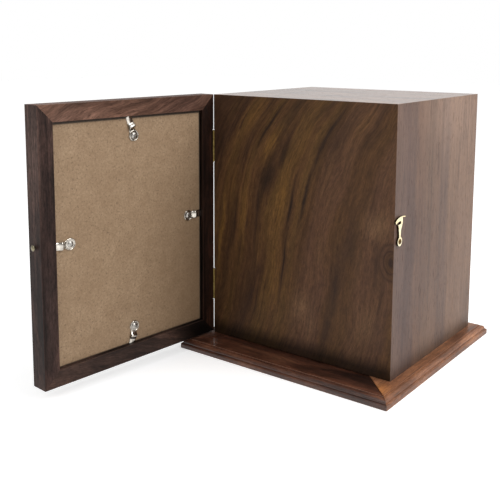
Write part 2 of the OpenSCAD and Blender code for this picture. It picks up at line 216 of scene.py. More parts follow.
def add_piece(name, surface, body, material, replaced, sharp_above=40):
    """A piece from a surface: its doubled points are merged and its faces turned outwards."""
    mesh = bpy.data.meshes.new(name)
    mesh.from_pydata(surface.points.tolist(), [], surface.faces)
    mesh.attributes.new("grain", "FLOAT_VECTOR", "POINT").data.foreach_set(
        "vector", surface.grain.ravel())
    mesh.attributes.new("arris", "FLOAT", "POINT").data.foreach_set("value", surface.arris)
    shape = bmesh.new()
    shape.from_mesh(mesh)
    bmesh.ops.remove_doubles(shape, verts=shape.verts, dist=doubles_within)
    bmesh.ops.recalc_face_normals(shape, faces=shape.faces)
    shape.to_mesh(mesh)
    shape.free()
    smoothed(mesh, math.radians(sharp_above), material)
    dress(new_object(name, mesh), body, replaced)


print("points nearer than", doubles_within / MM, "mm become one")

# %% [markdown]
# No edge on the real chest is sharp. An outline is written with plain corners, and one
# function eases them all, each by its own radius.

# %% Outlines with softened corners
def arc(centre, radius, start, end, steps=10):
    """Points on an arc, angles in degrees: centre + radius * (cos, sin)."""
    angle = np.radians(np.linspace(start, end, steps + 1))
    return np.stack([centre[0] + radius * np.cos(angle), centre[1] + radius * np.sin(angle)], -1)


support, round_steps = 1.5, 4
same_within = 0.0001 * MM


def soften(corners, radius):
    """A closed outline whose corners are rounded by quadratic curves from radius before the
    corner to radius after it. A support point on each side, farther out than the radius, keeps
    the flats flat. Gives the outline and its arris value."""
    corners = np.asarray(corners, float)
    radius = np.broadcast_to(np.asarray(radius, float), len(corners))[:, None]
    to_last = np.roll(corners, 1, axis=0) - corners
    to_next = np.roll(corners, -1, axis=0) - corners
    to_last /= np.linalg.norm(to_last, axis=1, keepdims=True)
    to_next /= np.linalg.norm(to_next, axis=1, keepdims=True)
    t = np.linspace(0, 1, round_steps + 1)[None, :, None]
    first, last = corners + radius * to_last, corners + radius * to_next
    curve = ((1 - t) ** 2 * first[:, None] + 2 * t * (1 - t) * corners[:, None]
             + t ** 2 * last[:, None])
    before = corners + support * radius * to_last
    after = corners + support * radius * to_next
    outline = np.concatenate([before[:, None], curve, after[:, None]], axis=1).reshape(-1, 2)
    arris_wear_and_highlight = np.zeros((len(corners), round_steps + 3))
    arris_wear_and_highlight[:, 1:-1] = radius > 0
    gap = np.linalg.norm(outline - np.roll(outline, 1, axis=0), axis=1)
    apart = gap > same_within
    return outline[apart], arris_wear_and_highlight.reshape(-1)[apart]


square = soften([(0, 0), (1, 0), (1, 1), (0, 1)], 0.1)
print("a square with softened corners has", len(square[0]), "points")

# %% [markdown]
# ## A small helper for node trees
#
# Materials and node groups are trees of nodes. Wiring them by hand takes three lines a node,
# so `Graph` adds a node, sets its values or joins its inputs, and gives back the output.
# Colours are written as a screen shows them, from 0 to 255. Nodes count light, which is
# linear, so each colour is turned into linear values once, on its way in.

# %% Colours
def linear_colour(colour):
    """Screen values (red, green, blue) from 0 to 255 as the linear values that nodes take. A
    single number is a grey of a mask, from 0 to 1, and stays as it is."""
    if np.isscalar(colour):
        return colour, colour, colour, 1.0
    screen = np.array(colour) / 255
    value = np.where(screen <= 0.04045, screen / 12.92, ((screen + 0.055) / 1.055) ** 2.4)
    return tuple(float(v) for v in value) + (1.0,)


print("middle grey is", round(linear_colour((128, 128, 128))[0], 3), "of the light of white")


# %% A graph of nodes
class Graph:
    """Adds nodes to one tree. An input may be a value or another node's output. A colour may
    also be screen values from 0 to 255."""

    def __init__(self, tree):
        self.tree = tree

    def node(self, kind, inputs=None, **settings):
        """A node of a kind with its settings, and inputs by name or number."""
        made = self.tree.nodes.new(kind)
        for setting, value in settings.items():
            setattr(made, setting, value)
        for key, value in (inputs or {}).items():
            self.join(value, made.inputs[key])
        return made

    def join(self, value, target):
        """Joins another node's output to an input, or gives the input a plain value."""
        if isinstance(value, bpy.types.NodeSocket):
            self.tree.links.new(value, target)
        else:
            target.default_value = value

    def math(self, operation, first, second=0.0, third=0.0):
        """One sum on values."""
        return self.node("ShaderNodeMath", {0: first, 1: second, 2: third},
                         operation=operation).outputs[0]

    def remap(self, value, low, high, to_low=0.0, to_high=1.0):
        """Stretches low..high to another range, and stops at its ends."""
        return self.node("ShaderNodeMapRange", {"Value": value, "From Min": low,
                         "From Max": high, "To Min": to_low, "To Max": to_high}).outputs[0]

    def vectors(self, operation, first, second):
        """One sum on two vectors, part by part; DOT_PRODUCT gives a value."""
        output = "Value" if operation == "DOT_PRODUCT" else "Vector"
        return self.node("ShaderNodeVectorMath", {0: first, 1: second},
                         operation=operation).outputs[output]

    def noise(self, vector, scale, seed=0.0, detail=2.0, roughness=0.5, distortion=0.0):
        """Soft random values around 0.5, different for each seed."""
        return self.node("ShaderNodeTexNoise", {"Vector": vector, "Scale": scale, "W": seed,
                         "Detail": detail, "Roughness": roughness, "Distortion": distortion},
                         noise_dimensions="4D").outputs["Fac"]

    def stretched(self, vector, stretch, scale, *settings):
        """Noise drawn out along the parts of the vector that have a small stretch."""
        return self.noise(self.vectors("MULTIPLY", vector, stretch), scale, *settings)

    def ramp(self, value, stops, interpolation="LINEAR"):
        """A colour for each value, from (position, colour) stops."""
        made = self.node("ShaderNodeValToRGB", {"Fac": value})
        made.color_ramp.interpolation = interpolation
        elements = made.color_ramp.elements
        while len(elements) < len(stops):
            elements.new(1.0)
        for element, (position, colour) in zip(elements, stops):
            element.position, element.color = position, linear_colour(colour)
        return made.outputs["Color"]

    def mix(self, factor, first, second):
        """Mixes two colours, each given as screen values or as another node's output."""
        made = self.node("ShaderNodeMix", {"Factor": factor}, data_type="RGBA")
        for colour, target in ((first, made.inputs[6]), (second, made.inputs[7])):
            is_output = isinstance(colour, bpy.types.NodeSocket)
            self.join(colour if is_output else linear_colour(colour), target)
        return made.outputs[2]

    def tinted(self, colour, mask, amount, tint):
        """A colour with some of another in it where a mask is high."""
        return self.mix(self.math("MULTIPLY", mask, amount), colour, tint)

    def lit(self, colour, light):
        """A colour made lighter or darker: each part times the same value."""
        return self.vectors("MULTIPLY", colour, light)

    def object_place(self):
        """The place on the object, in metres."""
        return self.node("ShaderNodeTexCoord").outputs["Object"]

    def parts(self, vector):
        """The three parts of a vector."""
        return self.node("ShaderNodeSeparateXYZ", {0: vector}).outputs

    def vector_of(self, *parts):
        """The vector that has these three parts."""
        return self.node("ShaderNodeCombineXYZ", dict(enumerate(parts))).outputs[0]

    def finish(self, shader, colour, roughness, height, strength, depth):
        """Gives a shader its colour and roughness, and dents of a depth in metres."""
        dents = self.node("ShaderNodeBump", {"Height": height, "Strength": strength,
                                             "Distance": depth}).outputs[0]
        for socket, value in (("Base Color", colour), ("Roughness", roughness),
                              ("Normal", dents)):
            self.join(value, shader.inputs[socket])


# %% Groups and materials
def new_group(name, inputs, outputs):
    """A node group with named sockets. Gives its graph, its input node and its output node."""
    tree = bpy.data.node_groups.new(name, "ShaderNodeTree")
    for direction, sockets in (("INPUT", inputs), ("OUTPUT", outputs)):
        for socket, kind in sockets:
            tree.interface.new_socket(name=socket, in_out=direction,
                                      socket_type="NodeSocket" + kind)
    graph = Graph(tree)
    return graph, graph.node("NodeGroupInput").outputs, graph.node("NodeGroupOutput").inputs


def new_material(name):
    """A material with a Principled shader. Gives the material, its graph and the shader."""
    material = bpy.data.materials.new(name)
    material.use_nodes = True
    shader = material.node_tree.nodes["Principled BSDF"]
    return material, Graph(material.node_tree), shader


def names(*materials):
    """The names of materials in one line, to print."""
    return ", ".join(material.name for material in materials)


def place_group(graph, group, **values):
    """Places a node group in a graph, with its inputs by name, and gives its outputs."""
    made = graph.node("ShaderNodeGroup", node_tree=group)
    for name, value in values.items():
        graph.join(value, made.inputs[name])
    return made.outputs


# %% [markdown]
# ## Rosewood
#
# The chest is Indian rosewood. Its look has five layers: broad patches from golden brown to
# nearly black, lines a little lighter or darker, thin ink-dark streaks, a fibrous grain and
# fine open pores. All of them run along the fibres, so each layer is noise stretched along
# one axis of the plank. An image of wood would repeat and stop at the edges. Noise in three
# dimensions runs round every edge, as real wood does. The layers are one node group, because
# every wooden piece uses them. A second group bends the plank first, because no real grain
# runs straight, and a third makes soft patches for places that are darker or paler.

# %% Node groups for the wood
def make_grain_flow():
    """Shifts the across-the-grain place: minus lean times along, minus bend times the cube of
    the distance from the place where the grain runs straightest, plus slow and quick waves."""
    graph, given, out = new_group(
        "grain_flow",
        [("Grain", "Vector"), ("Seed", "Float"), ("Lean", "Float"), ("Bend", "Float"),
         ("Straightest", "Float"), ("Wave", "Float")],
        [("Grain", "Vector"), ("Across", "Float")])
    parts = graph.parts(given["Grain"])
    leaned = graph.math("MULTIPLY", parts[0], given["Lean"])
    away = graph.math("SUBTRACT", parts[0], given["Straightest"])
    cube = graph.math("MULTIPLY", graph.math("MULTIPLY", away, away), away)
    bent = graph.math("MULTIPLY", cube, given["Bend"])
    quick_share = 0.2
    slow = graph.stretched(given["Grain"], (0.6, 1, 1), 14.0, given["Seed"], 1.0)
    quick = graph.stretched(given["Grain"], (0.5, 1, 1), 48.0, given["Seed"], 2.0)
    both = graph.math("MULTIPLY_ADD", quick, quick_share,
                      graph.math("SUBTRACT", slow, 0.5 + quick_share / 2))
    wave = graph.math("MULTIPLY", both, given["Wave"])
    across = graph.math("SUBTRACT", graph.math("SUBTRACT", parts[1], leaned),
                        graph.math("SUBTRACT", bent, wave))
    graph.join(graph.vector_of(parts[0], across, parts[2]), out["Grain"])
    graph.join(across, out["Across"])
    return graph.tree


def make_rosewood_figure():
    """Masks from 0 to 1. A layer is noise with so many waves a metre along and across the
    fibres, whose values from low to high fill the mask. The noise's detail, roughness and
    distortion come last. Streaks only show where a second, broader noise lets them."""
    graph, given, out = new_group(
        "rosewood_figure",
        [("Grain", "Vector"), ("Seed", "Float")],
        [("Patches", "Float"), ("Lines", "Float"), ("Streaks", "Float"), ("Fibre", "Float"),
         ("Pores", "Float")])

    def layer(along, across, low, high, *settings):
        stretch = (along, across, across)
        return graph.remap(graph.stretched(given["Grain"], stretch, 1.0, given["Seed"],
                                           *settings), low, high)

    thin = layer(13, 300, 0.56, 0.68, 2.0, 0.6, 0.3)
    where = layer(18, 60, 0.45, 0.6, 1.0)
    for name, mask in (("Patches", layer(11, 45, 0.3, 0.7, 4.0, 0.6, 0.5)),
                       ("Lines", layer(5, 230, 0.3, 0.7, 4.0, 0.8, 0.2)),
                       ("Streaks", graph.math("MULTIPLY", thin, where)),
                       ("Fibre", layer(110, 460, 0.28, 0.72, 3.0, 0.8)),
                       ("Pores", layer(160, 1500, 0.62, 0.76, 0.0))):
        graph.join(mask, out[name])
    return graph.tree


def make_cloud():
    """A soft patch that leans with the grain: exp(-(u^2 + v^2)), where u and v are the
    distances from its middle, along and across, each over its reach."""
    graph, given, out = new_group(
        "cloud", [("Grain", "Vector"), ("Middle", "Vector"), ("Reach", "Vector")],
        [("Cloud", "Float")])
    away = graph.vectors("SUBTRACT", given["Grain"], given["Middle"])
    share = graph.vectors("DIVIDE", away, given["Reach"])
    square = graph.vectors("DOT_PRODUCT", share, share)
    graph.join(graph.math("EXPONENT", graph.math("MULTIPLY", square, -1.0)), out["Cloud"])
    return graph.tree


grain_flow, rosewood_figure, cloud = make_grain_flow(), make_rosewood_figure(), make_cloud()
print("groups:", grain_flow.name, rosewood_figure.name, cloud.name)

# %% [markdown]
# ## One material for each board
#
# The boards were cut from different planks, so each gets the same recipe with its own seed,
# lean and colours. A board whose figure is easy to recognise, such as the front one, also gets
# `bands`: the tone at chosen places across the grain, in millimetres. Some boards get painted
# contact shade at their foot, and some of their clouds are painted light and shade. Satin
# lacquer lies over all of it. It is thin, so the pores still show as tiny dents, and it is
# rubbed a little paler along the arrises; where that paleness is strong, as on the plinth's
# front, it is a painted highlight as well.

# %% The wood recipe
band_wander = 10.0
foot_shade_full_to, foot_shade_clear_from = 8.0 * MM, 22.0 * MM
pore_ink, fibre_rough, pore_rough = 0.5, 0.08, 0.2
fibre_height, dent_strength, dent_depth = 0.3, 0.25, 0.15 * MM
coat_rough = 0.16
knot_stretch = 0.7
knot_rings = [(0.04, 0), (0.1, 0.6), (0.17, 0.1), (0.3, 0.1), (0.4, 0.85), (0.52, 0.2),
              (0.8, 0.35), (0.94, 1)]


def rosewood(name, seed, ink, brown, gold, lean=0.0, bend=0.0, straightest=0.0, wave=0.02,
             bands=None, share=0.5, clouds=(), knot=None, painted_foot_shade=1.0, satin=0.34, shine=0.25,
             coat=0.0, lines=0.35, streaks=0.6, fibre=0.25, arris_wear_and_highlight=0.3, calm=None):
    """Rosewood in three tones, near-black, brown and golden. bands lists (across, colour), of
    which a share shows, and clouds lists (along, across, reach along, reach across, colour,
    amount), in millimetres. knot is (along, across, reach, push) in metres. The factor for the
    foot is the share of colour left at the foot of a board: painted contact shade. calm is a
    cloud (along, across, reach along, reach across, amount) in which the lines are fainter."""
    material, graph, shader = new_material(name)
    grain = graph.node("ShaderNodeAttribute", attribute_name="grain").outputs["Vector"]
    heart = None
    if knot:
        grain, heart = pushed_by_knot(graph, grain, *knot)
    flow = place_group(graph, grain_flow, Grain=grain, Seed=seed, Lean=lean, Bend=bend,
                       Straightest=straightest, Wave=wave)
    masks = place_group(graph, rosewood_figure, Grain=flow["Grain"], Seed=seed)
    wood = graph.ramp(masks["Patches"], [(0.05, ink), (0.45, brown), (0.95, gold)])
    if bands:
        low, high = bands[0][0], bands[-1][0]
        astray = graph.math("MULTIPLY_ADD", masks["Patches"], band_wander * MM, flow["Across"])
        place = graph.remap(astray, (low + band_wander / 2) * MM, (high + band_wander / 2) * MM)
        chosen = graph.ramp(place, [((across - low) / (high - low), colour)
                                    for across, colour in bands], "EASE")
        wood = graph.mix(share, wood, chosen)
    for along, across, long_reach, wide_reach, colour, amount in clouds:
        patch = place_cloud(graph, flow["Grain"], along, across, long_reach, wide_reach)
        wood = graph.tinted(wood, patch, amount, colour)
    # Painted contact shade: the colour darkens towards the foot of the board.
    if painted_foot_shade < 1:
        wood = graph.lit(wood, graph.remap(graph.parts(grain)[0], foot_shade_full_to,
                                           foot_shade_clear_from, painted_foot_shade, 1.0))
    if heart:
        wood = graph.mix(heart, wood, ink)
    figure, dark_lines = masks["Lines"], masks["Streaks"]
    if calm:
        kept = graph.math("MULTIPLY_ADD", place_cloud(graph, flow["Grain"], *calm[:4]),
                          -calm[4], 1.0)
        figure = graph.math("MULTIPLY_ADD", graph.math("SUBTRACT", figure, 0.5), kept, 0.5)
        dark_lines = graph.math("MULTIPLY", dark_lines, kept)
    wood = graph.lit(wood, graph.remap(figure, 0.0, 1.0, 1.0 - lines, 1.0 + lines))
    wood = graph.tinted(wood, dark_lines, streaks, ink)
    wood = graph.lit(wood, graph.remap(masks["Fibre"], 0.0, 1.0, 1.0 - fibre, 1.0 + fibre))
    wood = graph.tinted(wood, masks["Pores"], pore_ink, ink)
    arris = graph.node("ShaderNodeAttribute", attribute_name="arris").outputs["Fac"]
    # Paler arrises: rubbed lacquer, and where the amount is high a painted highlight as well.
    wood = graph.tinted(wood, arris, arris_wear_and_highlight, gold)
    rough = graph.math("ADD", graph.math("MULTIPLY", masks["Fibre"], fibre_rough),
                       graph.math("MULTIPLY_ADD", masks["Pores"], pore_rough, satin))
    height = graph.math("SUBTRACT", graph.math("MULTIPLY", masks["Fibre"], fibre_height),
                        masks["Pores"])
    graph.finish(shader, wood, rough, height, dent_strength, dent_depth)
    for socket, value in (("Specular IOR Level", shine), ("Coat Weight", coat),
                          ("Coat Roughness", coat_rough)):
        shader.inputs[socket].default_value = value
    return material


def place_cloud(graph, grain, along, across, long_reach, wide_reach):
    """One cloud on the plank, all in millimetres."""
    return place_group(graph, cloud, Grain=grain, Middle=(along * MM, across * MM, 0),
                       Reach=(long_reach * MM, wide_reach * MM, 1))["Cloud"]


def pushed_by_knot(graph, grain, along, across, reach, push):
    """Moves the grain aside near a knot, by push times a bell curve of the distance from it, so
    that its lines close into rings. Also gives a mask of the knot's dark heart and rim."""
    parts = graph.parts(grain)
    up = graph.math("MULTIPLY", graph.math("SUBTRACT", parts[0], along), knot_stretch)
    side = graph.math("SUBTRACT", parts[1], across)
    square = graph.math("ADD", graph.math("MULTIPLY", up, up), graph.math("MULTIPLY", side, side))
    bell = graph.math("EXPONENT", graph.math("DIVIDE", square, -reach * reach))
    moved = graph.math("MULTIPLY_ADD", bell, push, parts[1])
    heart = graph.ramp(bell, knot_rings)
    return graph.vector_of(parts[0], moved, parts[2]), heart


# %% [markdown]
# ### The front board
#
# This is the board that catches the eye. Its left half is banded, with golden and ink-dark
# streaks. Its right half is calmer and redder, and a knot sits on its right edge a little
# below the middle. Noise alone would put such marks anywhere. So the bands and the knot have
# their own places, and each marked streak is a cloud, long along the grain and narrow across.

# %% Wood of the front board
INK, DARK, BROWN = (30, 20, 16), (54, 36, 26), (84, 57, 35)
OLIVE, GOLD, RUSSET = (92, 66, 36), (118, 84, 42), (96, 67, 50)
PALE = (132, 100, 72)
# The foot of this board is darkened: painted contact shade where it meets the plinth.
front_wood = rosewood(
    "front board rosewood", 2.0, DARK, BROWN, OLIVE, lean=0.11, bend=8.0, straightest=0.12,
    wave=0.026, knot=(0.129, 0.118, 0.009, 0.026), painted_foot_shade=0.28, satin=0.4, shine=0.18,
    streaks=0.8, share=0.6, lines=0.42, fibre=0.45, calm=(130, 65, 130, 62, 0.7),
    bands=[(-196, DARK), (-140, DARK), (-132, BROWN), (-125, OLIVE), (-116, BROWN),
           (-107, DARK), (-100, BROWN), (-92, OLIVE), (-84, BROWN), (-70, DARK), (-60, BROWN),
           (-50, OLIVE), (-40, OLIVE), (-30, BROWN), (-18, OLIVE), (-8, BROWN), (4, RUSSET),
           (25, RUSSET), (38, BROWN), (58, BROWN), (75, RUSSET), (95, RUSSET), (125, BROWN)],
    clouds=[(60, -85, 45, 26, DARK, 0.35), (183, -43, 34, 7, GOLD, 0.85),
            (95, -38, 45, 8, GOLD, 0.3), (75, -31, 26, 2, GOLD, 0.5),
            (242, -76, 20, 6, GOLD, 0.75), (270, -117, 22, 9, GOLD, 0.5),
            (245, -36, 32, 8, GOLD, 0.35), (150, -92, 34, 5, GOLD, 0.6),
            (130, -122, 40, 2.6, GOLD, 0.75), (185, -112, 30, 6, GOLD, 0.3),
            (140, 55, 25, 8, DARK, 0.7), (88, 45, 34, 6.5, DARK, 0.85),
            (35, 41, 25, 5, DARK, 0.7), (58, 4, 14, 9, PALE, 0.5),
            (38, 18, 18, 7, PALE, 0.25), (55, 85, 18, 12, PALE, 0.25),
            (165, 80, 13, 13, PALE, 0.45), (125, 87, 22, 3.5, DARK, 0.7),
            (85, 96, 30, 2, DARK, 0.6), (270, 22, 20, 8, GOLD, 0.3),
            (252, 0, 24, 9, DARK, 0.6), (255, 42, 15, 6, DARK, 0.5),
            (262, -90, 34, 2.4, INK, 0.95), (232, -56, 16, 5, INK, 0.75),
            (203, -65, 20, 7, INK, 0.8), (172, -71, 13, 3, INK, 0.6),
            (255, -12, 42, 3, INK, 0.85), (184, -14, 34, 2.2, INK, 0.95),
            (172, -29, 28, 1.8, INK, 0.9), (105, -26.5, 42, 1.6, INK, 0.85),
            (145, -104, 30, 3, INK, 0.75), (118, -91, 25, 1.8, INK, 0.6)])
print(front_wood.name, "has", len(front_wood.node_tree.nodes), "nodes")

# %% [markdown]
# ### The other boards
#
# The right board is paler at its upper back corner, a painted sheen, and darker towards the
# front, partly its own bands and partly painted shade, so it has bands and three broad clouds.
# The other three are seen less, and noise does most of the work.
# The top is glossier than the sides, so it has a coat of clear lacquer as well.

# %% Woods of the other boards
# The foot of this board is darkened too: painted contact shade above the plinth.
right_wood = rosewood(
    "right board rosewood", 5.3, (60, 44, 38), (98, 75, 61), (122, 96, 78),
    wave=0.006, painted_foot_shade=0.72, satin=0.4, shine=0.2, lines=0.22, streaks=0.5, share=0.65,
    fibre=0.18,
    bands=[(-108, (96, 74, 64)), (-92, (88, 68, 62)), (-78, (74, 56, 53)),
           (-62, (82, 62, 56)), (-54, (108, 80, 64)), (-20, (104, 80, 64)),
           (0, (112, 86, 70)), (8, (94, 74, 64)), (22, (98, 78, 68)),
           (34, (118, 92, 74)), (108, (116, 90, 73))],
    # The first cloud is a painted sheen on the upper back, the second painted shade towards the
    # front.
    clouds=[(285, 45, 60, 90, (150, 124, 108), 0.5),
            (125, -45, 95, 60, (68, 50, 44), 0.5),
            (85, 20, 80, 50, (96, 68, 52), 0.3)])
left_wood = rosewood("left board rosewood", 7.1, (80, 58, 47), (104, 78, 62),
                     (120, 92, 74), lean=0.04, wave=0.012, streaks=0.6, lines=0.4,
                     fibre=0.35)
back_wood = rosewood("back board rosewood", 9.4, DARK, BROWN, (104, 76, 50), lean=-0.1,
                     wave=0.02, streaks=0.7, lines=0.45, fibre=0.35,
                     clouds=[(190, -40, 70, 14, DARK, 0.7), (90, 55, 80, 12, INK, 0.5),
                             (140, 5, 90, 16, GOLD, 0.35)])
top_wood = rosewood("top board rosewood", 11.2, (70, 50, 38), (112, 80, 60),
                    (140, 104, 80), wave=0.015, satin=0.3, shine=0.45, coat=0.4,
                    streaks=0.35, lines=0.3, fibre=0.16)
print("other boards:", names(right_wood, left_wood, back_wood, top_wood))

# %% [markdown]
# ### The plinth
#
# The plinth is redder than the chest, and its front is polished, with pale worn arrises, made
# paler still on the front to paint the highlights along them. The moulding on the right is
# lighter than the front one and has an orange patch near their mitre.

# %% Woods of the plinth
# The high arris amount here paints highlights along the eased arrises, on top of real wear.
plinth_front_wood = rosewood("front moulding rosewood", 13.5, (40, 22, 15),
                             (84, 50, 36), (124, 82, 60), wave=0.02, shine=0.4,
                             coat=0.45, streaks=0.8, lines=0.55, fibre=0.5, arris_wear_and_highlight=0.9)
plinth_left_wood = rosewood("left moulding rosewood", 14.2, (40, 22, 15),
                            (74, 44, 32), (104, 68, 50), wave=0.02, shine=0.1,
                            satin=0.5)
plinth_tones = (78, 48, 33), (124, 82, 57), (156, 108, 76)
plinth_side_wood = rosewood("side moulding rosewood", 15.8, *plinth_tones, wave=0.01,
                            streaks=0.4)
plinth_right_wood = rosewood("right moulding rosewood", 15.8, *plinth_tones, wave=0.012,
                             streaks=0.6, lines=0.55, fibre=0.4,
                             clouds=[(-124, 18, 15, 8, (198, 130, 74), 0.8),
                                     (10, 6, 60, 20, (104, 68, 46), 0.35)])
print("plinth:", names(plinth_front_wood, plinth_left_wood, plinth_side_wood,
                       plinth_right_wood))

# %% [markdown]
# ### The door's frame
#
# The four lengths of the frame are the darkest wood here. They are dull, because what we see
# is their unpolished back. The grain leans in the rails and runs straight in the stiles, so
# each length has a lean of its own, and their mitres show. Each rail has a dark cloud at its
# hinge end, painted shade beside the chest, and a paler one at its latch end, painted light.

# %% Woods of the door's frame
latch_stile_wood = rosewood("latch stile rosewood", 17.0, (14, 9, 7),
                            (46, 32, 28), (82, 60, 53), wave=0.006, satin=0.45,
                            shine=0.12, streaks=0.6, lines=0.7, fibre=0.7,
                            clouds=[(95, 0, 55, 2.5, (100, 78, 70), 0.6),
                                    (-60, 9, 60, 8, (66, 50, 46), 0.4)])
hinge_stile_wood = rosewood("hinge stile rosewood", 18.3, (10, 6, 4),
                            (36, 21, 15), (70, 42, 30), wave=0.008, satin=0.45,
                            shine=0.12, streaks=0.6, lines=0.7, fibre=0.5)
top_rail_wood = rosewood("top rail rosewood", 19.6, (46, 31, 25), (93, 67, 55),
                         (122, 91, 77), lean=-0.32, wave=0.06, satin=0.45, shine=0.06,
                         lines=0.45, streaks=0.6, fibre=0.4,
                         # Painted light at the latch end, and painted shade at the hinge end
                         # beside the chest.
                         clouds=[(-104, 9, 36, 40, (124, 96, 84), 0.5),
                                 (85, 9, 42, 40, (60, 40, 34), 0.8)])
bottom_rail_wood = rosewood("bottom rail rosewood", 21.9, (24, 16, 13),
                            (62, 45, 38), (92, 68, 58), lean=0.25, wave=0.04,
                            satin=0.45, shine=0.12, lines=0.5, fibre=0.5,
                            # Painted shade at the hinge end beside the chest, nearly black, and
                            # painted light at the latch end.
                            clouds=[(-100, 30, 54, 56, (6, 3, 2), 1.0),
                                    (95, 9, 30, 40, (78, 58, 50), 0.5)])
print("frame:", names(latch_stile_wood, hinge_stile_wood, top_rail_wood, bottom_rail_wood))

# %% [markdown]
# ## Metal, hardboard, card and glass
#
# The clips are nickel-plated steel, the hook is bright brass, and the hinges and the small pin
# are brass that has gone dull. Handling leaves cloudy patches and hair-fine scratches on all
# three, so one group makes those, and each metal mixes them in with its own strength.

# %% Handled metal
def make_handling():
    """Cloudy patches and fine scratches, both from 0 to 1."""
    graph, given, out = new_group("handling", [("Place", "Vector"), ("Seed", "Float")],
                                  [("Clouds", "Float"), ("Scratches", "Float")])
    clouds = graph.noise(given["Place"], 320.0, given["Seed"], 3.0, 0.6)
    scratches = graph.stretched(given["Place"], (1, 0.12, 1), 5200.0, given["Seed"], 1.0)
    graph.join(graph.remap(clouds, 0.3, 0.7), out["Clouds"])
    graph.join(graph.remap(scratches, 0.55, 0.75), out["Scratches"])
    return graph.tree


handling = make_handling()
scratch_rough, scratch_strength, scratch_depth = 0.12, 0.08, 0.05 * MM
side_below, flat_above = 0.3, 0.85


def metal(name, seed, clean, dull, smooth, rough, sides=None):
    """A plated or solid metal: clean and dull colours, and roughness from smooth to rough. A
    fitting cut from sheet that lies on the chest's side can have its narrow sides painted
    dark, as painted shade."""
    material, graph, shader = new_material(name)
    place = graph.object_place()
    masks = place_group(graph, handling, Place=place, Seed=seed)
    colour = graph.mix(masks["Clouds"], clean, dull)
    # Painted shade: the narrow sides of the sheet, which face sideways, get a dark colour.
    if sides:
        facing = graph.node("ShaderNodeTexCoord").outputs["Normal"]
        outward = graph.math("ABSOLUTE", graph.parts(facing)[0])
        colour = graph.mix(graph.remap(outward, side_below, flat_above), sides, colour)
    roughness = graph.math("MULTIPLY_ADD", masks["Scratches"], scratch_rough,
                           graph.remap(masks["Clouds"], 0.0, 1.0, smooth, rough))
    graph.finish(shader, colour, roughness, masks["Scratches"], scratch_strength, scratch_depth)
    shader.inputs["Metallic"].default_value = 1.0
    return material


nickel = metal("nickel plate", 1.0, (214, 208, 198), (158, 151, 142), 0.1, 0.24)
rivet_metal = metal("rivet steel", 2.0, (186, 182, 176), (140, 136, 130), 0.26, 0.42)
# The hook's narrow sides are painted dark brass: painted shade.
bright_brass = metal("bright brass", 3.0, (246, 234, 200), (222, 204, 156), 0.16,
                     0.3, sides=(46, 36, 22))
dull_brass = metal("dull brass", 4.0, (150, 130, 78), (104, 86, 50), 0.38, 0.6)
screw_brass = metal("screw brass", 5.0, (118, 94, 56), (72, 56, 34), 0.3, 0.5)
pin_brass = metal("pin brass", 6.0, (158, 150, 126), (112, 104, 82), 0.3, 0.45)
print("metals:", names(nickel, rivet_metal, bright_brass, dull_brass, screw_brass, pin_brass))

# %% [markdown]
# Hardboard is wood fibre pressed into a sheet. It has no grain: only a fine speckle, soft
# stains, and here and there a dark fibre. Painted shade darkens it along its edges under the
# frame and low down beside the hinge. The speckle is noise of one to three millimetres. It
# reads the place on the object, so it stays where it is on the sheet when the door turns. The
# card, the glass and the panel under the chest are plainer, with one noise each.

# %% Hardboard
hair_width = 0.007
right_inset, foot_inset, top_inset = 0.8 * MM, -0.5 * MM, 1.3 * MM
edge_shade_full, edge_shade_end = 0.6 * MM, 1.8 * MM
shade_width, shade_from, shade_to = 100.0 * MM, 100.0 * MM, 240.0 * MM


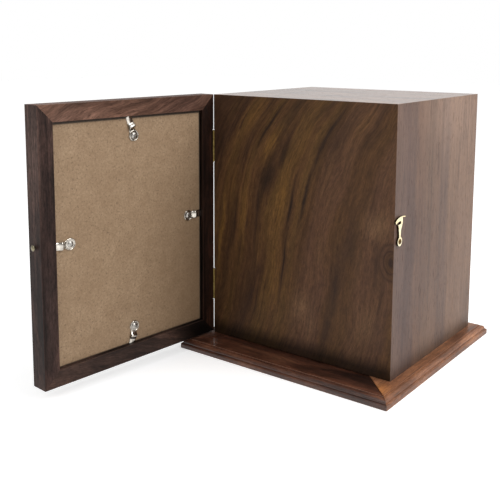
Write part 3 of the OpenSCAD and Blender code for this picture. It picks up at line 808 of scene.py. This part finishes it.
def hardboard_sheet():
    """Pressed fibre: soft stains, a fine speckle, dark specks and a few dark hairs, which are
    the contour 0.5 of a noise. Its edges under the frame are darkened as painted shade, and
    its lower part beside the hinge is darker as painted shade of the chest."""
    material, graph, shader = new_material("pressed hardboard")
    place = graph.object_place()
    stains = graph.remap(graph.noise(place, 60.0, 1.0, 4.0, 0.7), 0.3, 0.7)
    speckle = graph.remap(graph.noise(place, 380.0, 2.0, 3.0, 0.7), 0.3, 0.7)
    specks = graph.remap(graph.noise(place, 520.0, 11.0, 2.0, 0.6), 0.57, 0.68)
    contour = graph.math("SUBTRACT", graph.noise(place, 85.0, 3.0, 1.0, 0.5, 1.2), 0.5)
    thread = graph.remap(graph.math("ABSOLUTE", contour), 0.0, hair_width, 1.0, 0.0)
    hairs = graph.math("MULTIPLY", thread,
                       graph.remap(graph.noise(place, 60.0, 7.0), 0.62, 0.68))

    corner, one_across = door_place((0, 0, 0)), door_place((1, 0, 0))
    across_way = one_across - corner
    across, up = graph.vectors("DOT_PRODUCT", place, tuple(across_way)), graph.parts(place)[2]
    low, high = shut_span("backing_board")
    shift = float(corner @ across_way) - door_low[0]
    left, right = low[0] + shift, high[0] + shift - right_inset
    bottom, top = low[2] + foot_inset, high[2] - top_inset
    edge = graph.math("MINIMUM", graph.math("SUBTRACT", across, left),
                      graph.math("SUBTRACT", right, across))
    edge = graph.math("MINIMUM", edge, graph.math("SUBTRACT", up, bottom))
    edge = graph.math("MINIMUM", edge, graph.math("SUBTRACT", top, up))
    # Painted shade: a dark band along the edges, where the frame's rebate shades the board.
    painted_edge_shade = graph.remap(edge, edge_shade_full, edge_shade_end, 1.0, 0.0)
    # Painted shade: darker beside the hinge and low down, where the chest keeps light off the
    # board.
    beside = graph.remap(across, left, left + shade_width, 0.6, 0.0)
    shade = graph.math("MULTIPLY", beside, graph.remap(up, shade_from, shade_to, 1.0, 0.0))

    colour = graph.mix(stains, (143, 117, 89), (163, 137, 108))
    for mask, amount, tint in ((speckle, 0.5, (108, 84, 60)), (specks, 0.55, (84, 62, 44)),
                               (shade, 1.0, (112, 86, 58)), (hairs, 0.7, (70, 50, 36)),
                               (painted_edge_shade, 0.92, (34, 24, 18))):
        colour = graph.tinted(colour, mask, amount, tint)
    graph.finish(shader, colour, graph.remap(speckle, 0.0, 1.0, 0.62, 0.8), speckle, 0.35,
                 0.2 * MM)
    return material


hardboard = hardboard_sheet()
print(hardboard.name, "has", len(hardboard.node_tree.nodes), "nodes")


# %% Card, glass and the panel under the chest
def blank_card():
    """Warm white card with a faint tooth."""
    material, graph, shader = new_material("blank card")
    place = graph.object_place()
    tooth = graph.noise(place, 900.0, 1.0, 3.0, 0.7)
    colour = graph.mix(tooth, (226, 220, 206), (240, 235, 222))
    graph.finish(shader, colour, graph.remap(tooth, 0.3, 0.7, 0.72, 0.85), tooth, 0.2, 0.1 * MM)
    return material


def window_glass():
    """Clear glass with the faintest smears in its gloss."""
    material, graph, shader = new_material("clear glass")
    place = graph.object_place()
    smears = graph.noise(place, 24.0, 1.0, 3.0, 0.6)
    graph.join(graph.remap(smears, 0.35, 0.75, 0.01, 0.06), shader.inputs["Roughness"])
    graph.join(graph.mix(smears, (246, 250, 248), (252, 253, 252)),
               shader.inputs["Base Color"])
    shader.inputs["Transmission Weight"].default_value = 1.0
    shader.inputs["IOR"].default_value = 1.5
    return material


def inner_ply():
    """The thin panel under the chest: plain brown wood, with its grain from left to right."""
    material, graph, shader = new_material("bottom panel wood")
    place = graph.object_place()
    masks = place_group(graph, rosewood_figure, Grain=place, Seed=30.0)
    wood = graph.ramp(masks["Patches"], [(0.0, (92, 66, 46)), (1.0, (128, 96, 68))])
    wood = graph.tinted(wood, masks["Streaks"], 0.3, (70, 50, 36))
    graph.join(wood, shader.inputs["Base Color"])
    graph.join(graph.remap(masks["Fibre"], 0.0, 1.0, 0.5, 0.7), shader.inputs["Roughness"])
    return material


card, glass, ply = blank_card(), window_glass(), inner_ply()
print("sheets:", names(card, glass, ply))

# %% [markdown]
# ## Camera
#
# The upright edges of the chest stay nearly parallel although we look down on its top. That
# is a lens with shift: the camera stands high and dips only a little, and the view is the
# lower part of what the lens sees. So it gets its place, its three angles, and a shift.

# %% Place the camera
camera_place = Vector((0.4832, -0.8230, 0.3675))
camera_turn, camera_dip, camera_roll = (math.radians(a) for a in (37.07, 7.69, 0.21))
camera_focal_px, view_px = 790.8, 500
camera_shift = -0.2
sensor_mm = 36.0

camera = new_object("camera", bpy.data.cameras.new("camera"))
camera.data.sensor_width = sensor_mm
camera.data.lens = camera_focal_px / view_px * sensor_mm
camera.data.shift_y = camera_shift
camera.matrix_world = (Matrix.Translation(camera_place)
                       @ Matrix.Rotation(camera_turn, 4, "Z")
                       @ Matrix.Rotation(math.pi / 2 - camera_dip, 4, "X")
                       @ Matrix.Rotation(camera_roll, 4, "Z"))
bpy.context.scene.camera = camera
print("lens", round(camera.data.lens, 1), "mm, shift", camera_shift)

# %% [markdown]
# ## Stage and light
#
# The chest stands on a wide white floor. The camera and the glass see the floor and the world
# behind it as plain white. The chest itself is lit by the world and by two soft lamps: one
# high on the right, and a weaker one at the front. The world is brighter behind than in front,
# as a studio is: that leaves the front board dark and puts a sheen on the side and the top.

# %% Floor
floor_reach = 6.0
floor_white = linear_colour((235, 235, 235))
floor_glow = 0.46


def white_floor():
    """Matt white, with just enough glow, for the camera and for reflections, to look plain
    white where no shadow falls."""
    material, graph, shader = new_material("white floor")
    path = graph.node("ShaderNodeLightPath").outputs
    seen = graph.math("MAXIMUM", graph.math("MAXIMUM", path["Is Camera Ray"],
                                            path["Is Glossy Ray"]), path["Is Transmission Ray"])
    for socket, value in (("Base Color", floor_white), ("Roughness", 1.0),
                          ("Specular IOR Level", 0.0), ("Emission Color", (1, 1, 1, 1))):
        shader.inputs[socket].default_value = value
    graph.join(graph.math("MULTIPLY", seen, floor_glow), shader.inputs["Emission Strength"])
    return material


floor_mesh = bpy.data.meshes.new("floor")
floor_mesh.from_pydata([(x * floor_reach, y * floor_reach, 0)
                        for x, y in ((-1, -1), (1, -1), (1, 1), (-1, 1))], [], [(0, 1, 2, 3)])
floor_mesh.materials.append(white_floor())
floor = new_object("floor", floor_mesh)
print("floor", 2 * floor_reach, "m wide")

# %% World and lamps
from_front, to_back = -0.9, 0.5
front_strength, back_strength = 0.22, 0.95
lamp_size = 1.2
chest_middle = (0.0, 0.0, 0.15)

world = bpy.data.worlds.new("studio")
bpy.context.scene.world = world
world.use_nodes = True
sky = Graph(world.node_tree)
background = world.node_tree.nodes["Background"]
ray = sky.node("ShaderNodeLightPath").outputs
direction = sky.node("ShaderNodeTexCoord").outputs["Generated"]
room = sky.remap(sky.parts(direction)[1], from_front, to_back, front_strength, back_strength)
seen_plainly = sky.math("MAXIMUM", ray["Is Camera Ray"], ray["Is Transmission Ray"])
strength = sky.math("ADD", sky.math("MULTIPLY", seen_plainly, sky.math("SUBTRACT", 1.0, room)),
                    room)
sky.join(strength, background.inputs["Strength"])
background.inputs["Color"].default_value = (1, 1, 1, 1)

for name, place, watts in (("key lamp", (1.5, 0.25, 1.4), 28.0),
                           ("front lamp", (-0.3, -1.9, 1.3), 10.0)):
    lamp = new_object(name, bpy.data.lights.new(name, "AREA"))
    lamp.data.shape, lamp.data.size, lamp.data.energy = "SQUARE", lamp_size, watts
    lamp.location = place
    facing = Vector(chest_middle) - Vector(place)
    lamp.rotation_euler = facing.to_track_quat("-Z", "Y").to_euler()
    print(name, watts, "watts")

# %% [markdown]
# ## Chest boards
#
# The chest is five boards mitred together, so its corners show no end grain. A plain box would
# do for the shape, but its edges would be razor sharp, and a real maker eases every arris with
# fine paper. So each board takes its share of a box with rounded edges: a flat grid is laid
# over one face, and each point is pushed out to the rounded surface. The grid ends exactly
# where the rounding has turned through 45 degrees, which is the mitre.
#
# Beside each hinge the corner has a small hollow for the knuckles. A Boolean would tear the
# grid, so points that come too near the hinge's axis are pushed straight out from it instead.

# %% The hollow for the hinges' knuckles
hollow_radius, hollow_spare, thin_step = 1.4 * MM, 0.5 * MM, 0.02 * MM
hollows = [(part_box(pin)[0][2] - hollow_spare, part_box(pin)[1][2] + hollow_spare)
           for pin in ("lower_hinge_pin", "upper_hinge_pin")]
hollow_stops = np.array([end + step for ends in hollows for end in ends
                         for step in (-thin_step, thin_step)])
print("hollows at heights", np.round(np.array(hollows) / MM, 1).tolist(), "mm")


def hollowed(points):
    """Moves points beside a hinge that come too near its axis straight out to the radius of
    the hollow."""
    away = points[..., :2] - hinge_axis[:2]
    far = np.linalg.norm(away, axis=-1, keepdims=True)
    height = points[..., 2:]
    beside = np.any([(height > low) & (height < high) for low, high in hollows], axis=0)
    out = np.where(beside & (far < hollow_radius), hollow_radius / far, 1.0)
    return np.concatenate([hinge_axis[:2] + away * out, height], axis=-1)


# %% A board of a rounded, mitred box
arris_radius = 0.4 * MM
rounding_steps, board_cells = 4, 24


def board_lines(low, high, rounded_low, rounded_high):
    """Places of the grid lines along one side: close together on a rounding, where a line at
    angle a lies at radius * tan(a) outside the flat, and even in between."""
    lean = arris_radius * np.tan(np.radians(np.linspace(0, 45, rounding_steps + 1)))
    start = low + (arris_radius if rounded_low else 0)
    end = high - (arris_radius if rounded_high else 0)
    middle = np.linspace(start + arris_radius * rounded_low, end - arris_radius * rounded_high,
                         board_cells)
    before = start - lean[::-1] if rounded_low else np.empty(0)
    after = end + lean if rounded_high else np.empty(0)
    return np.concatenate([before, middle, after])


def slab(outer, inner, grain_outer, grain_inner, arris):
    """A closed solid between two grids of points of the same shape."""
    rows, columns = outer.shape[:2]
    index = np.arange(rows * columns).reshape(rows, columns)
    rim = np.concatenate([index[0, :-1], index[:-1, -1], index[-1, :0:-1], index[:0:-1, 0]])
    following = np.roll(rim, -1)
    count = rows * columns
    walls = np.stack([rim, following, following + count, rim + count], axis=-1)
    faces = np.vstack([cells(rows, columns), cells(rows, columns)[:, ::-1] + count, walls])
    return Surface(np.vstack([outer.reshape(-1, 3), inner.reshape(-1, 3)]), faces,
                   np.vstack([grain_outer.reshape(-1, 3), grain_inner.reshape(-1, 3)]),
                   np.concatenate([arris.reshape(-1), np.zeros(count)]))


def chest_board(facing, side, along, across):
    """The board that faces along an axis (0, 1 or 2) on one side (-1 or 1), with the axes its
    grain runs along and across. A point q of the flat face goes to c + radius * (q - c) / |q - c|,
    where c is the nearest point of the box shrunk by the radius."""
    shrunk_low = chest_low + arris_radius * np.array([1, 1, 0])
    shrunk_high = chest_high - arris_radius
    middle = (chest_low + chest_high) / 2
    plane = [axis for axis in range(3) if axis != facing]
    lines = [board_lines(chest_low[axis], chest_high[axis], axis != 2, True) for axis in plane]
    if facing != 2:
        lines[1] = np.sort(np.concatenate([lines[1], hollow_stops]))
    face = np.zeros((len(lines[0]), len(lines[1]), 3))
    face[..., plane[0]], face[..., plane[1]] = np.meshgrid(*lines, indexing="ij")
    face[..., facing] = (chest_low, chest_high)[side > 0][facing]
    nearest = np.clip(face, shrunk_low, shrunk_high)
    away = face - nearest
    outer = nearest + arris_radius * away / np.linalg.norm(away, axis=-1, keepdims=True)
    inner = face.copy()
    inner[..., facing] -= side * wall
    for axis in plane:
        fixed = chest_low[2] if axis == 2 else middle[axis]
        reach = chest_high[axis] - fixed
        inner[..., axis] = fixed + (face[..., axis] - fixed) * (reach - wall) / reach
    away[..., facing] = 0
    arris = (np.linalg.norm(away, axis=-1) > same_within).astype(float)
    order = [along, across, facing]
    origin = np.array([middle[0], middle[1], chest_low[2]])
    return slab(hollowed(outer), inner, (outer - origin)[..., order],
                (inner - origin)[..., order], arris)


for name, facing, side, along, across, slot, wood in (
        ("front", 1, -1, 2, 0, "chest_front_wood", front_wood),
        ("right", 0, 1, 2, 1, "chest_side_wood", right_wood),
        ("back", 1, 1, 2, 0, "chest_front_wood", back_wood),
        ("left", 0, -1, 2, 1, "chest_side_wood", left_wood),
        ("top", 2, 1, 0, 1, "chest_top_wood", top_wood)):
    add_piece(f"{name}_board", chest_board(facing, side, along, across), "chest", wood,
              [f"{name}_panel"])

# %% [markdown]
# ## Mouldings
#
# The plinth and the door frame are both made like picture framing: one section, run off on a
# long length and cut at 45 degrees. The same can be done with arrays. Each point of the
# section lies some way inward from the outer edge, and its line along the length stops that
# much short of each end, so the mitre comes out by itself.

# %% A mitred length
stations = 11


def mitred_length(section, length, stops=()):
    """Carries a closed section of (inward, up) points along a straight run, with extra stations
    at the stops. A point that lies inward by d runs from d - length/2 to length/2 - d."""
    outline, arris_wear_and_highlight = section
    share = np.union1d(np.linspace(-1, 1, stations), 2 * np.asarray(stops) / length)[:, None]
    run = share * (length / 2 - outline[:, 0])
    points = np.stack([run, np.broadcast_to(outline[:, 0], run.shape),
                       np.broadcast_to(outline[:, 1], run.shape)], axis=-1)
    rows, count = points.shape[:2]
    ends = [list(range(count)), list(range((rows - 1) * count, rows * count))]
    faces = cells(rows, count, closed=True).tolist() + ends
    return Surface(points, faces, points, np.broadcast_to(arris_wear_and_highlight, run.shape))


def turned(angle, shift):
    """A place function: turns by an angle in degrees, seen from above, then shifts."""
    c, s = round(math.cos(math.radians(angle)), 9), round(math.sin(math.radians(angle)), 9)
    return lambda points: points @ np.array([[c, s, 0], [-s, c, 0], [0, 0, 1]]) + shift


# %% [markdown]
# The plinth's moulding has a flat band at its foot, a quirk, a bead and a small step. Its top
# runs in under the chest and ends in a shelf for the bottom panel. A curve with a bevel object
# would make the same form, but a section in numbers takes its heights from the frame.

# %% The plinth
band_round, band_height = 2.0 * MM, 4.6 * MM
bead_radius, bead_height = 4.0 * MM, 7.0 * MM
step_width, step_height = 1.4 * MM, 1.0 * MM
quirk_inward, quirk_drop, bead_inward = 0.6 * MM, 0.1 * MM, 0.2 * MM
shelf_width = 10.0 * MM
foot_ease, top_ease = 0.4 * MM, 0.3 * MM
plinth_size = plinth_high - plinth_low
moulding_width = float(front_high[1] - front_low[1])
shelf_height = float(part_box("bottom_panel")[1][2])


def plinth_section(top):
    """From the edge inwards: a flat band with a rounded shoulder, a quirk, a bead, a small step
    and the flat top, whose arris is eased, then the shelf that holds the bottom panel."""
    drop = plinth_size[2] - top
    step_from = band_round + bead_radius + step_width
    shoulder = arc((band_round, band_height - drop), band_round, 180, 90)
    bead = arc((band_round + bead_radius + bead_inward, bead_height - drop), bead_radius,
               180, 90)
    corners = np.vstack([[(0, 0)], shoulder,
                         [(band_round + quirk_inward, bead_height - drop - quirk_drop)], bead,
                         [(step_from, top - step_height), (step_from, top),
                          (moulding_width, top), (moulding_width, shelf_height),
                          (moulding_width - shelf_width, shelf_height),
                          (moulding_width - shelf_width, 0)]])
    eased = np.zeros(len(corners))
    eased[0], eased[-5] = foot_ease, top_ease
    return soften(corners, eased)


low_section, full_section = plinth_section(front_high[2]), plinth_section(plinth_high[2])
for name, angle, length, edge, section, wood in (
        ("front", 0, plinth_size[0], (0, plinth_low[1]), low_section, plinth_front_wood),
        ("right", 90, plinth_size[1], (plinth_high[0], 0), full_section, plinth_right_wood),
        ("back", 180, plinth_size[0], (0, plinth_high[1]), full_section, plinth_side_wood),
        ("left", -90, plinth_size[1], (plinth_low[0], 0), full_section, plinth_left_wood)):
    moulding = mitred_length(section, length).placed(turned(angle, (*edge, 0)))
    add_piece(f"{name}_moulding", moulding, "chest", wood, [f"plinth_{name}"])

# %% [markdown]
# The door's frame has its own section. The back is flat, with a rebate for the hardboard, the
# card and the glass, and a saw kerf for the clips. The front, which is turned away from us, has
# a quarter-round bead and a step. Each length is made lying down, turned to its side of the
# door while the door is shut, and then swung open with it.

# %% The door frame
rail_width, sight_lip = 18.0 * MM, 6.0 * MM
kerf_height, kerf_depth = 1.6 * MM, 5.0 * MM
outer_round = 1.5 * MM
front_bead, front_step, front_fillet = 8.0 * MM, 1.5 * MM, 1.0 * MM
ovolo_rise = 3.0 * MM
beside_hollow = 1.5 * MM
back_ease, rebate_ease = 0.3 * MM, 0.4 * MM
board_span = shut_span("backing_board")
glass_span = shut_span("glass_pane")
frame_depth = float(door_size[1])
board_recess = float(door_high[1] - board_span[1][1])
rebate_depth = float(door_high[1] - glass_span[0][1])


def frame_section():
    """From the outer edge inwards, and forward from the back: the rail with the saw kerf that
    the clips enter, the lip over the glass, a quarter-round bead, a step, and a rounded
    outer corner."""
    lip = rail_width + sight_lip
    step_from = lip - front_bead - front_fillet
    rise = frame_depth - front_step - rebate_depth - ovolo_rise
    bead = arc((0, 0), 1.0, 0, 90) * (front_bead, rise) + (lip - front_bead,
                                                           rebate_depth + ovolo_rise)
    corner = arc((outer_round, frame_depth - outer_round), outer_round, 90, 180)
    corners = np.vstack([[(0, 0), (beside_hollow, 0), (rail_width, 0),
                          (rail_width, board_recess - kerf_height),
                          (rail_width - kerf_depth, board_recess - kerf_height),
                          (rail_width - kerf_depth, board_recess), (rail_width, board_recess),
                          (rail_width, rebate_depth), (lip, rebate_depth)],
                         bead, [(step_from, frame_depth - front_step), (step_from, frame_depth)],
                         corner, [(0, beside_hollow)]])
    eased = np.zeros(len(corners))
    eased[0], eased[2] = back_ease, rebate_ease
    return soften(corners, eased)


def on_door(angle, across, up):
    """A place function for a frame length: its inner side turned to face the door's middle."""
    flat = turned(angle, (across, up, 0))
    return lambda points: hollowed(door_place(flat(points)))


door_across, door_up = float(door_size[0]), float(door_size[2])
section = frame_section()
stile_stops = door_up / 2 - (hollow_stops - door_low[2])
for name, node, angle, length, across, up, wood in (
        ("frame_top", "door_top_rail", 180, door_across, door_across / 2, door_up,
         top_rail_wood),
        ("frame_bottom", "door_bottom_rail", 0, door_across, door_across / 2, 0,
         bottom_rail_wood),
        ("frame_hinge_side", "door_hinge_stile", -90, door_up, 0, door_up / 2,
         hinge_stile_wood),
        ("frame_latch_side", "door_latch_stile", 90, door_up, door_across, door_up / 2,
         latch_stile_wood)):
    stops = stile_stops if node == "door_hinge_stile" else ()
    length_piece = mitred_length(section, length, stops).placed(on_door(angle, across, up))
    add_piece(name, length_piece, "door", wood, [node])

# %% [markdown]
# ## The card behind the glass
#
# In the CAD model the card lies flat against the glass. Two faces in one place flicker between
# them when they are rendered. So the dressed card is a sheet whose front lies a hair behind
# the glass, as real card does.

# %% The card
def sheet_grid(low, high, forward):
    """The four corners of a rectangle on the door, from (across, up) low to high."""
    across, up = np.meshgrid([low[0], high[0]], [low[1], high[1]], indexing="ij")
    return door_place(np.stack([across, up, np.full_like(across, forward)], axis=-1))


card_low, card_high = (corner - door_low for corner in shut_span("photo_card"))
card_gap = 0.1 * MM
card_back, card_front = frame_depth - card_high[1], frame_depth - card_low[1] - card_gap
faces = [sheet_grid(card_low[::2], card_high[::2], forward) for forward in (card_back, card_front)]
add_piece("blank_card", slab(*faces, *faces, np.zeros((2, 2))), "door", card,
          ["photo_card"])

# %% [markdown]
# ## Turn clips
#
# A turn clip is one strip of sprung steel. Its round end is held by a rivet and has a rolled
# rim. The strip rises over a hump, and its tongue enters the saw kerf in the frame. The plate
# is a grid again: one parameter runs from the round end to the tip, the other across.
# The half width at each place is the larger of a circle and a straight strip, taken softly.

# %% The plate of a clip
clip_reach, clip_half = 23.5 * MM, 4.1 * MM
clip_thick, clip_lift = 0.8 * MM, 0.15 * MM
eye_radius, rim_radius = 6.2 * MM, 0.6 * MM
hump_from, hump_to, hump_height = 6.0 * MM, 15.2 * MM, 2.4 * MM
crown, neck_soft = 0.5 * MM, 0.5 * MM
tip_round, tip_taper = 1.6 * MM, 0.55
side_from = 0.97


def clip_hump(s):
    """Height of the strip at s: hump_height / 2 * (1 - cos(2 pi share)), one wave up and down
    again between the hump's two ends."""
    share = np.clip((s - hump_from) / (hump_to - hump_from), 0, 1)
    return hump_height / 2 * (1 - np.cos(2 * np.pi * share))


def clip_plate():
    """Half width: a soft maximum of the circle sqrt(R^2 - s^2) and the strip, rounded off at
    the tip. The strip is crowned by crown * (1 - v^2), and its thickness, clip_thick times
    (1 - v^8), ends in nothing at its sides."""
    turn = np.radians(np.linspace(0, 120, 17))
    round_end = -eye_radius * np.cos(turn)
    s = np.concatenate([round_end, np.linspace(round_end[-1], clip_reach, 52)[1:]])
    circle = np.sqrt(np.maximum(eye_radius ** 2 - s ** 2, 0))
    strip = np.where(s > 0, clip_half, 0)
    soft = neck_soft * (s > 0)
    half = (circle + strip + np.sqrt((circle - strip) ** 2 + soft ** 2)) / 2
    from_tip = np.clip((s - clip_reach + tip_round) / tip_round, 0, 1)
    half = half * np.sqrt(1 - tip_taper * from_tip ** 2)
    v = np.sin(np.linspace(-np.pi / 2, np.pi / 2, 17))
    s_grid, v_grid = np.meshgrid(s, v, indexing="ij")
    across = half[:, None] * v_grid
    base = clip_lift + clip_hump(s_grid)
    body = clip_thick / 2 * (1 - v_grid ** 8)
    middle = base + clip_thick / 2 + crown * (s_grid > hump_from) * (1 - v_grid ** 2)
    top = np.stack([across, s_grid, middle + body], axis=-1)
    under = np.stack([across, s_grid, middle - body], axis=-1)
    return slab(top, under, top, under, (np.abs(v_grid) > side_from).astype(float))


plate = clip_plate()
print("a clip's plate has", len(plate.points), "points")

# %% [markdown]
# The rim is a wire ring, spun as on a lathe. One clip is made, and then placed four times, at
# the rivet of each joint and at the angle at which the real one was left.

# %% The rim and the four clips
def lathe(profile, segments):
    """Spins a profile of (radius, height) points about the upright axis: (r cos a, r sin a,
    z) for each angle a."""
    angle = np.linspace(0, 2 * np.pi, segments, endpoint=False)[None, :]
    radius, height = np.asarray(profile, float).T[:, :, None]
    points = np.stack([radius * np.cos(angle), radius * np.sin(angle),
                       np.broadcast_to(height, (len(height), segments))], axis=-1)
    return Surface(points, cells(len(profile), segments, closed=True), points)


def clip_rim():
    """The rolled rim, a ring: a circle of the rim's radius spun round the eye."""
    ring = arc((eye_radius - rim_radius, clip_lift + clip_thick), rim_radius, 0, 360, 12)
    return lathe(ring, 48)


def clip_place(joint, turn):
    """A place function for a clip. It is made face up, so it is turned over onto the back of the
    door, its tongue at an angle, at the rivet that the clip's joint names."""
    rivet = swing(joints[joint]["pos_m"], door_angle)
    across, up = rivet[0] - door_low[0], rivet[2] - door_low[2]
    flat = turned(turn, (across, up, board_recess))
    return lambda points: door_place(flat(points * (-1, 1, -1)))


clip_turns = {"top_clip": -17, "bottom_clip": 190, "hinge_side_clip": 90, "latch_side_clip": -90}
clip = joined(plate, clip_rim())
for clip_name, turn in clip_turns.items():
    add_piece(f"{clip_name}_steel", clip.placed(clip_place(f"{clip_name}_turn", turn)),
              clip_name, nickel, [clip_name], sharp_above=50)

# %% [markdown]
# The rivets' heads are domed, with a small dimple that the setting tool left. They are spun
# from one profile, as on a lathe.

# %% The rivets
rivet_radius, rivet_length = 1.6 * MM, 2.4 * MM
head_radius, head_height = 3.7 * MM, 1.5 * MM
dimple_radius, dimple_depth = 1.1 * MM, 0.35 * MM
head_base = clip_lift + clip_thick + 0.1 * MM


def rivet_profile():
    """Height of the head at radius r: height * (1 - (r / R)^2)^0.8, less a bell-shaped dimple,
    then the underside and the shank."""
    r = head_radius * np.sin(np.linspace(0, np.pi / 2, 16))
    dome = head_height * np.maximum(1 - (r / head_radius) ** 2, 0) ** 0.8
    dimple = dimple_depth * np.exp(-(r / dimple_radius) ** 2)
    head = np.stack([r, head_base + dome - dimple], axis=-1)
    shank = [(rivet_radius, head_base), (rivet_radius, -rivet_length), (0, -rivet_length)]
    return np.vstack([head, shank])


rivet = lathe(rivet_profile(), 36)
rivets = joined(*[rivet.placed(clip_place(f"{clip_name}_turn", turn))
                  for clip_name, turn in clip_turns.items()])
add_piece("clip_rivets_steel", rivets, "door", rivet_metal, ["clip_rivets"])

# %% [markdown]
# ## Brass fittings
#
# The hook, the hinges and the pin have their true shapes in the CAD model. Only their edges
# are too sharp for polished brass. The node itself is never changed, so a copy of it has its
# loose triangles merged and its flat faces made whole again, and gets a small bevel.

# %% Softened copies of CAD nodes
cad_doubles_within = 0.002 * MM
flat_within, sharp_edge, bevelled_edge = (math.radians(angle) for angle in (1.0, 35.0, 40.0))
bevel_segments = 3


def softened_copy(node, body, material, width):
    """A copy of a CAD node with its edges bevelled by a width."""
    name = f"{node}_brass"
    mesh = frame["nodes"][node].data.copy()
    mesh.name = name
    shape = bmesh.new()
    shape.from_mesh(mesh)
    bmesh.ops.remove_doubles(shape, verts=shape.verts, dist=cad_doubles_within)
    bmesh.ops.dissolve_limit(shape, angle_limit=flat_within, verts=shape.verts,
                             edges=shape.edges)
    shape.to_mesh(mesh)
    shape.free()
    normals = mesh.attributes.get("custom_normal")
    if normals:
        mesh.attributes.remove(normals)
    smoothed(mesh, sharp_edge, material)
    piece = new_object(name, mesh)
    bevel = piece.modifiers.new("eased edges", "BEVEL")
    bevel.width, bevel.segments, bevel.limit_method = width, bevel_segments, "ANGLE"
    bevel.angle_limit, bevel.harden_normals = bevelled_edge, True
    dress(piece, body, [node])


hook_edge, fine_edge = 0.4 * MM, 0.15 * MM
softened_copy("latch_hook", "latch_hook", bright_brass, hook_edge)
softened_copy("latch_hook_screw", "chest", screw_brass, fine_edge)
softened_copy("latch_pin", "door", pin_brass, fine_edge)
for body in ("chest", "door"):
    for height in ("upper", "lower"):
        softened_copy(f"{height}_hinge_{body}_leaf", body, dull_brass, fine_edge)

# %% [markdown]
# ## CAD nodes that stay
#
# The glass and the hardboard in the door, the panel under the chest, the hinge pins and the
# screws have the right shape already. They only need their materials.

# %% Dress the remaining nodes
for material, nodes in ((hardboard, ["backing_board"]), (glass, ["glass_pane"]),
                        (ply, ["bottom_panel"]),
                        (dull_brass, ["upper_hinge_pin", "lower_hinge_pin"]),
                        (screw_brass, ["bottom_panel_screws", "chest_leaf_screws",
                                       "door_leaf_screws"])):
    for node in nodes:
        mesh = frame["nodes"][node].data
        mesh.materials.clear()
        mesh.materials.append(material)
        print(node, "wears", material.name)

# %% [markdown]
# ## Colours as they are written
#
# The Standard view transform shows a colour as it is.

# %% Finish
bpy.context.scene.view_settings.view_transform = "Standard"
